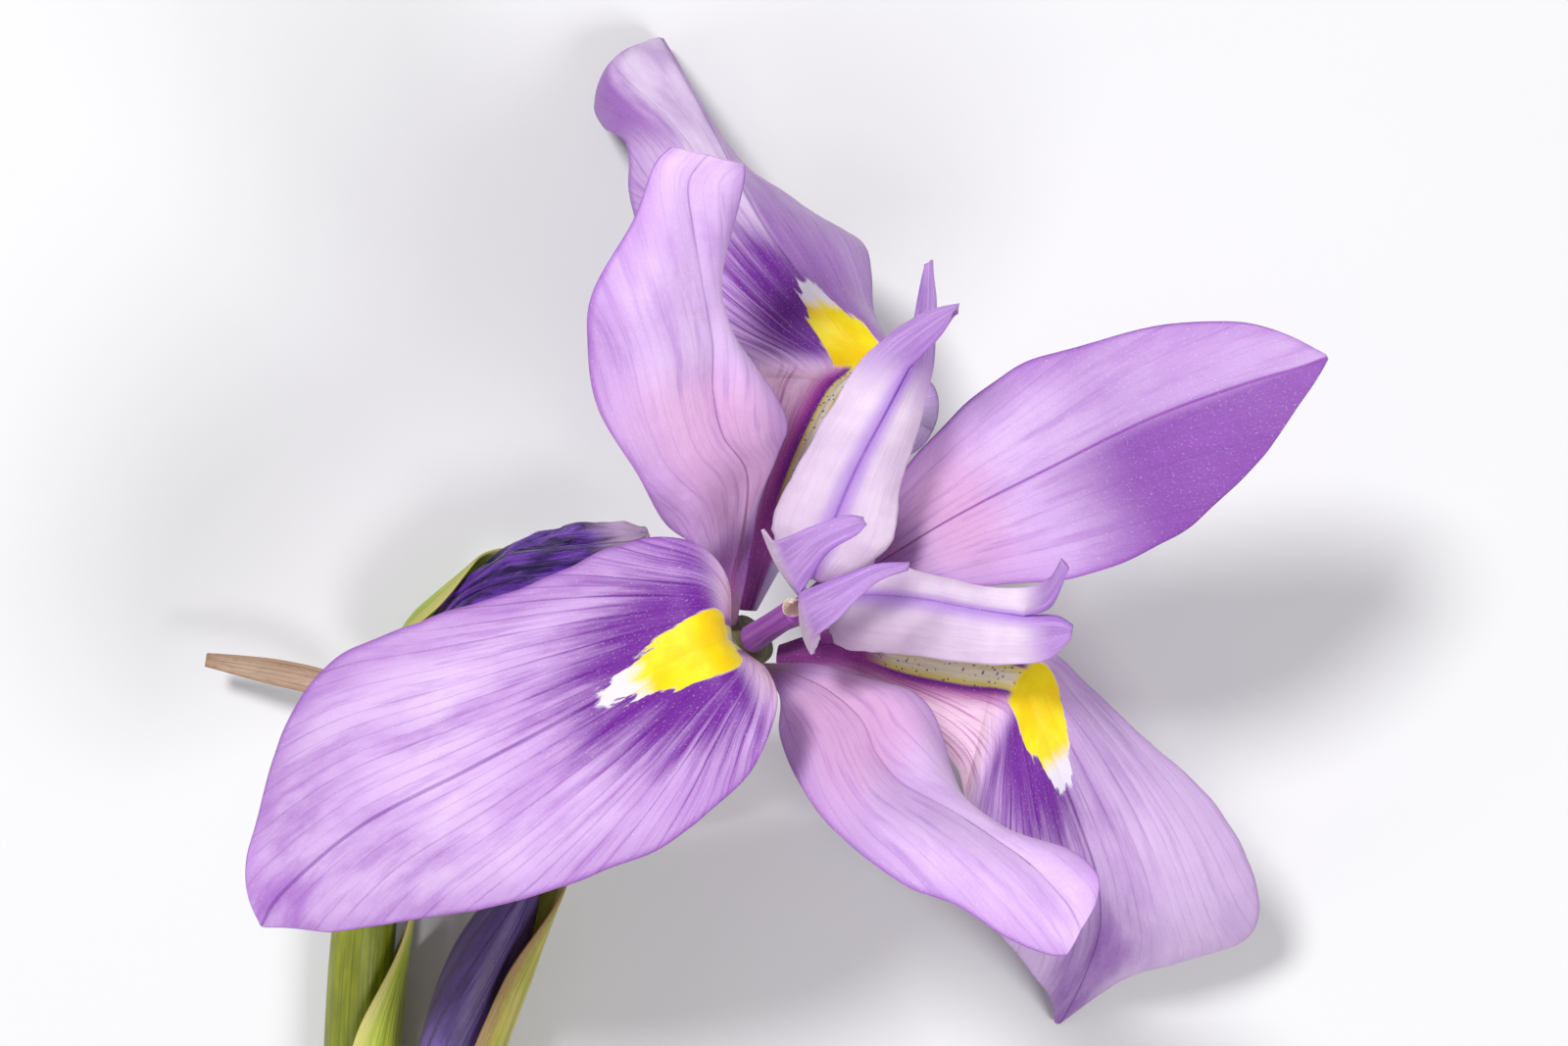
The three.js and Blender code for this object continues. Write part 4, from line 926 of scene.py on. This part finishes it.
# ---- style branches ----
place_piece(forked(
    "style_branch_upper_visual",
    [[1.6, -3.0, 23.2], [2.4, -0.6, 25.8], [3.8, 2.8, 28.4], [5.4, 5.9, 30.8], [6.6, 8.2, 32.6]],
    [{"inner": [[8.2, 9.8, 34.2], [8.9, 10.9, 35.2]],
      "outer": [[0.5, -2.4, 23.2], [-0.6, 0.0, 25.0], [1.2, 3.9, 27.6], [2.9, 6.8, 30.0],
                [4.7, 9.2, 32.4], [7.0, 10.8, 34.4], [9.1, 11.4, 35.4]],
      "bow": [-0.3, 0.1, 0.9], "flip": True},
     {"inner": [[6.9, 10.6, 32.2], [7.4, 13.6, 31.8]],
      "outer": [[2.6, -3.3, 22.8], [5.6, -1.4, 25.0], [6.3, 2.2, 27.0], [7.2, 5.3, 29.2],
                [7.8, 8.0, 30.8], [8.0, 11.0, 31.4], [7.9, 13.9, 31.8]],
      "bow": [0.3, -0.1, 0.9]}],
    style_look("style_upper", 0.50, 0.74), seed=7),
    "style_branch_upper")
place_piece(forked(
    "style_branch_right_visual",
    [[2.9, -4.3, 23.2], [4.6, -3.9, 25.2], [7.2, -4.0, 27.6], [10.2, -4.5, 29.8], [12.8, -4.9, 31.2]],
    [{"inner": [[14.0, -4.4, 32.6], [14.9, -2.4, 33.8]],
      "outer": [[2.6, -4.0, 23.4], [5.3, -2.3, 25.2], [7.8, -2.8, 27.6], [10.4, -3.3, 30.0],
                [12.9, -3.4, 31.6], [14.0, -2.9, 33.0], [14.5, -1.9, 34.0]],
      "bow": [0, 0.2, 0.9], "flip": True},
     {"inner": [[14.3, -4.9, 32.0], [15.2, -5.4, 32.2]],
      "outer": [[2.5, -5.1, 22.8], [3.2, -6.7, 24.2], [6.8, -7.1, 26.6], [10.2, -7.5, 28.6],
                [12.9, -7.5, 30.2], [14.3, -7.0, 31.4], [15.1, -6.2, 32.0]],
      "bow": [0, -0.2, 0.9]}],
    style_look("style_right", 0.60, 0.84), seed=8),
    "style_branch_right")
place_piece(forked(
    "style_branch_left_visual",
    [[1.5, -4.4, 23.4], [1.3, -4.2, 27.0], [1.0, -3.9, 30.4], [0.9, -3.6, 34.0]],
    [{"inner": [[2.2, -1.6, 35.8], [3.8, -0.6, 36.4], [4.2, 0.0, 36.4]],
      "outer": [[1.0, -3.4, 23.2], [-0.3, -1.6, 26.8], [-1.1, -0.3, 29.8], [-0.5, -0.9, 33.6],
                [1.4, -0.2, 35.6], [3.2, 0.4, 36.4], [4.1, 0.3, 36.6]],
      "bow": [-0.7, -0.4, 0.1]},
     {"inner": [[2.8, -2.8, 35.6], [4.8, -2.1, 36.2], [6.5, -2.1, 36.2]],
      "outer": [[1.9, -5.2, 23.2], [1.9, -6.2, 26.8], [1.5, -7.0, 29.8], [1.6, -6.1, 33.6],
                [3.1, -4.7, 35.4], [4.8, -3.1, 36.2], [6.4, -2.4, 36.4]],
      "bow": [-0.7, -0.4, 0.1], "flip": True}],
    style_look("style_left", 0.46, 0.54), seed=9, belly=0.3),
    "style_branch_left")

# ---- filament column ----
column_look = stalk_look("filament", (colour(160, 84, 176), colour(142, 62, 158), colour(184, 112, 194)),
                         lines=10, roughness=0.4, through_light=0.15)
place_piece(stalk(
    "filament_column_visual",
    [ring_point(0, 0, 0.3) + [0.8], ring_point(0, 0, 2.5) + [0.72], ring_point(0, 0, 5.0) + [0.72]],
    column_look, sides=40, rows=60, ridges=3, depth=0.05), "filament_column")

# ---- anthers with grains of pollen ----
anther_look = plain_look("anther", colour(214, 178, 160), colour(236, 214, 190), 3.0)
pollen_look = plain_look("pollen", colour(236, 214, 170), colour(250, 236, 210), 6.0)


GRAINS_PER_MM2 = 34.0
GRAIN_RADIUS = 0.035


def dusted(piece, seed, count_per_mm2, radius):
    """Scatters small grains over a piece and joins them to it."""
    tree = bpy.data.node_groups.new(piece.name + "_grains", "GeometryNodeTree")
    tree.interface.new_socket("Geometry", in_out="INPUT", socket_type="NodeSocketGeometry")
    density = tree.interface.new_socket("Density", in_out="INPUT", socket_type="NodeSocketFloat")
    size = tree.interface.new_socket("Grain radius", in_out="INPUT", socket_type="NodeSocketFloat")
    tree.interface.new_socket("Geometry", in_out="OUTPUT", socket_type="NodeSocketGeometry")
    inside = tree.nodes.new("NodeGroupInput")
    outside = tree.nodes.new("NodeGroupOutput")
    scatter = tree.nodes.new("GeometryNodeDistributePointsOnFaces")
    scatter.inputs["Seed"].default_value = seed
    grain = tree.nodes.new("GeometryNodeMeshIcoSphere")
    grain.inputs["Subdivisions"].default_value = 1
    copies = tree.nodes.new("GeometryNodeInstanceOnPoints")
    real = tree.nodes.new("GeometryNodeRealizeInstances")
    paint = tree.nodes.new("GeometryNodeSetMaterial")
    paint.inputs["Material"].default_value = pollen_look
    both = tree.nodes.new("GeometryNodeJoinGeometry")
    link = tree.links.new
    link(inside.outputs["Geometry"], scatter.inputs["Mesh"])
    link(inside.outputs["Density"], scatter.inputs["Density"])
    link(inside.outputs["Grain radius"], grain.inputs["Radius"])
    link(scatter.outputs["Points"], copies.inputs["Points"])
    link(grain.outputs["Mesh"], copies.inputs["Instance"])
    link(copies.outputs["Instances"], real.inputs["Geometry"])
    link(real.outputs["Geometry"], paint.inputs["Geometry"])
    link(paint.outputs["Geometry"], both.inputs["Geometry"])
    link(inside.outputs["Geometry"], both.inputs["Geometry"])
    link(both.outputs["Geometry"], outside.inputs["Geometry"])
    modifier = piece.modifiers.new("grains", "NODES")
    modifier.node_group = tree
    modifier[density.identifier] = count_per_mm2 * 1e6
    modifier[size.identifier] = radius * MM
    depsgraph = bpy.context.evaluated_depsgraph_get()
    plain = bpy.data.meshes.new_from_object(piece.evaluated_get(depsgraph), depsgraph=depsgraph)
    piece.modifiers.clear()
    piece.data = plain
    return piece


for node, places in (
        ("anther_upper", [[1.5, -2.2, 21.6], [2.3, 0.3, 23.6], [3.6, 3.4, 26.0], [4.4, 5.0, 27.2]]),
        ("anther_right", [[3.0, -4.9, 21.4], [5.4, -5.0, 23.8], [8.2, -5.2, 25.9], [9.8, -5.4, 27.0]]),
        ("anther_left", [[0.45, -4.9, 22.6], [0.45, -4.7, 24.4], [0.45, -4.4, 26.6], [0.4, -4.2, 28.6]])):
    rows = [p + [r] for p, r in zip(places, (0.25, 0.42, 0.38, 0.12))]
    sac = stalk(node + "_visual", rows, anther_look, sides=24, rows=40, ridges=2, depth=0.22)
    place_piece(dusted(sac, 5, GRAINS_PER_MM2, GRAIN_RADIUS), node)

# ---- ovary, spathe, stem and leaf ----
green = (colour(100, 108, 6), colour(130, 136, 22), colour(76, 90, 6))
leaf_tones = (colour(150, 172, 58), colour(182, 196, 84), colour(116, 146, 40))
stem_green = stalk_look("green_stem", green, lines=26)
place_piece(stalk(
    "ovary_visual",
    [[-19.9, -12.1, 4.8, 0.9], [-15.0, -12.2, 5.8, 0.95], [-10.4, -11.6, 8.0, 1.1],
     ring_point(0, 0, -7.0) + [1.45], ring_point(0, 0, -3.6) + [1.7], ring_point(0, 0, -0.2) + [1.5]],
    stalk_look("ovary_green", green, lines=14, purple=0.5), sides=48, rows=140, ridges=3, depth=0.08),
    "ovary")
place_piece(blade(
    "spathe_visual",
    [[-19.4, -12.2, 3.0, 2.6, 2.6, 0, 0, -72, -72],
     [-15.0, -12.4, 3.6, 4.2, 4.2, 0, 0, -115, -115],
     [-10.0, -12.0, 5.8, 4.4, 4.4, 0, 0, -120, -120],
     [-6.2, -10.6, 8.9, 3.4, 3.4, 0, 0, -84, -84],
     [-3.2, -9.8, 11.4, 0.2, 0.2, 0, 0, 0, 0]],
    [[0, 0, 1], [0, 0, 1], [-0.1, 0.1, 1], [-0.35, 0.25, 0.8], [-0.5, 0.3, 0.6]],
    leaf_look("spathe_leaf", leaf_tones, colour(196, 176, 130)),
    rows=110, half=36, ripple=0.05, swell=0.08, seed=11), "spathe")
place_piece(stalk(
    "stem_visual",
    [[-26.5, -62.0, 2.75, 2.0], [-26.0, -50.0, 2.75, 2.0], [-25.6, -38.0, 2.75, 2.0],
     [-25.1, -26.0, 2.9, 1.9], [-24.0, -17.0, 3.3, 1.8], [-22.7, -12.9, 3.9, 1.5],
     [-20.6, -12.1, 4.6, 0.9]],
    stem_green, sides=64, rows=180, ridges=16, depth=0.012), "stem")
place_piece(blade(
    "sheath_leaf_visual",
    [[-23.9, -58.0, 2.75, 4.6, 4.6, 0, 0, -108, -108],
     [-23.55, -50.0, 2.75, 4.8, 4.8, 0, 0, -112, -112],
     [-23.2, -40.0, 2.75, 4.8, 4.8, 0, 0, -112, -112],
     [-22.9, -32.0, 2.8, 4.2, 4.2, 0, 0, -98, -98],
     [-22.5, -27.0, 3.2, 2.6, 2.6, 0, 0, -55, -55],
     [-21.8, -22.0, 4.2, 0.2, 0.2, 0, 0, 0, 0]],
    [[-1, 0, 0], [-1, 0, 0], [-1, 0, 0]],
    leaf_look("sheath_leaf", (colour(176, 192, 56), colour(200, 208, 84), colour(136, 160, 36)),
              colour(206, 196, 120)),
    rows=140, half=36, ripple=0.04, swell=0.06, seed=12), "sheath_leaf")

# ---- bud and its spathe ----
place_piece(stalk(
    "bud_visual",
    [[-21.4, -44.2, 4.6, 0.5], [-21.0, -41.4, 5.0, 1.0], [-20.6, -37.0, 5.4, 1.8],
     [-19.4, -31.0, 5.8, 2.3], [-17.6, -26.0, 6.2, 2.2], [-15.4, -21.5, 6.6, 1.2],
     [-14.2, -19.0, 6.8, 0.15]],
    stalk_look("bud_petals", (colour(66, 46, 96), colour(96, 72, 134), colour(42, 24, 68)),
               lines=16, roughness=0.5, depth=0.00012),
    sides=72, rows=150, ridges=3, depth=0.1, twist=2.0), "bud")
place_piece(blade(
    "bud_spathe_visual",
    [[-21.5, -46.2, 3.6, 0.9, 0.9, 0, 0, -40, -40],
     [-18.3, -37.0, 3.8, 4.2, 4.2, 0, 0, -80, -80],
     [-16.9, -31.0, 4.2, 4.9, 4.9, 0, 0, -94, -94],
     [-15.1, -26.0, 4.8, 4.4, 4.4, 0, 0, -85, -85],
     [-13.4, -21.5, 5.8, 2.3, 2.3, 0, 0, -44, -44],
     [-12.4, -19.0, 6.4, 0.2, 0.2, 0, 0, 0, 0]],
    [[-0.8, 0.2, 0.5], [-0.8, 0.2, 0.5], [-0.8, 0.2, 0.5]],
    leaf_look("bud_spathe", (colour(170, 170, 60), colour(198, 186, 96), colour(130, 140, 40)),
              colour(150, 116, 80)),
    rows=120, half=36, ripple=0.1, swell=0.12, seed=13), "bud_spathe")

# ---- dry bract, spent flower and its spathe ----
place_piece(blade(
    "dry_bract_visual",
    [[-24.3, -11.0, 4.3, 0.9, 0.9, 0, 0, -40, -40],
     [-26.8, -9.6, 4.5, 0.9, 0.9, 0, 0, -50, -50],
     [-30.0, -8.8, 4.3, 0.8, 0.8, 0, 0, -50, -50],
     [-34.2, -8.1, 3.6, 0.4, 0.4, 0, 0, -20, -20]],
    [[0, 0, 1], [0, 0, 1]],
    leaf_look("dry_bract", (colour(168, 138, 118), colour(190, 164, 142), colour(128, 98, 78)),
              colour(168, 134, 108), lines=9, through_light=0.1, roughness=0.7, dry=0.4),
    rows=90, half=16, ripple=0.12, swell=0.15, seed=14), "dry_bract")
place_piece(stalk(
    "spent_flower_visual",
    [[-20.6, -6.6, 5.1, 0.5], [-18.6, -4.5, 5.6, 0.9], [-15.7, -3.1, 6.2, 1.5],
     [-12.2, -1.9, 6.1, 1.6], [-9.2, -1.0, 5.9, 0.9], [-8.0, -0.5, 5.7, 0.3]],
    withered_look("withered"), sides=120, rows=160, ridges=5, depth=0.18, twist=2.0,
    crinkle=0.45, seed=15), "spent_flower")
place_piece(blade(
    "spent_spathe_visual",
    [[-22.8, -9.8, 3.9, 1.4, 1.4, 0, 0, -50, -50],
     [-21.9, -6.6, 3.4, 3.0, 3.0, 0, 0, -84, -84],
     [-19.9, -4.6, 3.6, 3.4, 3.4, 0, 0, -92, -92],
     [-17.6, -2.6, 4.2, 2.2, 2.2, 0, 0, -60, -60],
     [-16.6, -1.6, 4.6, 0.2, 0.2, 0, 0, 0, 0]],
    [[0.5, -0.45, 0.7], [0.5, -0.45, 0.7]],
    leaf_look("spent_spathe", leaf_tones, colour(190, 180, 110)),
    rows=90, half=32, ripple=0.06, swell=0.08, seed=16), "spent_spathe")

# ---------------------------------------------------------------- floor, light, camera
FLOOR_HALF = 3.0  # metres
CAMERA_HEIGHT = 0.262  # metres above the surface, looking straight down
LENS = 100.2
SENSOR_WIDTH = 36.0

floor_mesh = bpy.data.meshes.new("floor")
wide = FLOOR_HALF
floor_mesh.from_pydata([(-wide, -wide, 0), (wide, -wide, 0), (wide, wide, 0), (-wide, wide, 0)],
                       [], [(0, 1, 2, 3)])
floor = bpy.data.objects.new("floor", floor_mesh)
bpy.context.scene.collection.objects.link(floor)
bpy.context.scene.view_settings.view_transform = "Standard"
floor_look = Look("floor")
floor_mesh.materials.append(floor_look.finish((0.62, 0.62, 0.63, 1.0), 0.9))


def lamp(name, place, aim, size, power, tint=(1, 1, 1)):
    light = bpy.data.lights.new(name, "AREA")
    light.shape = "DISK"
    light.size = size
    light.energy = power
    light.color = tint
    holder = bpy.data.objects.new(name, light)
    holder.location = place
    holder.rotation_euler = (Vector(aim) - Vector(place)).to_track_quat("-Z", "Y").to_euler()
    bpy.context.scene.collection.objects.link(holder)


lamp("key", (-0.16, 0.22, 0.54), (0, 0.02, 0.02), 0.12, 3.0)
lamp("fill", (0.26, -0.22, 0.46), (0, 0.0, 0.02), 0.24, 1.9)
lamp("low", (-0.5, -0.2, 0.20), (0, 0.0, 0.02), 0.30, 0.6)
world = bpy.data.worlds.new("studio")
world.use_nodes = True
world.node_tree.nodes["Background"].inputs[0].default_value = (1.0, 0.98, 1.0, 1.0)
world.node_tree.nodes["Background"].inputs[1].default_value = 0.32
bpy.context.scene.world = world

camera = bpy.data.cameras.new("camera")
camera.sensor_width = SENSOR_WIDTH
camera.lens = LENS
camera.clip_start = 0.01
holder = bpy.data.objects.new("camera", camera)
holder.location = (SHIFT[0] * MM, SHIFT[1] * MM, CAMERA_HEIGHT)
holder.rotation_euler = (0, 0, 0)
bpy.context.scene.collection.objects.link(holder)
bpy.context.scene.camera = holder
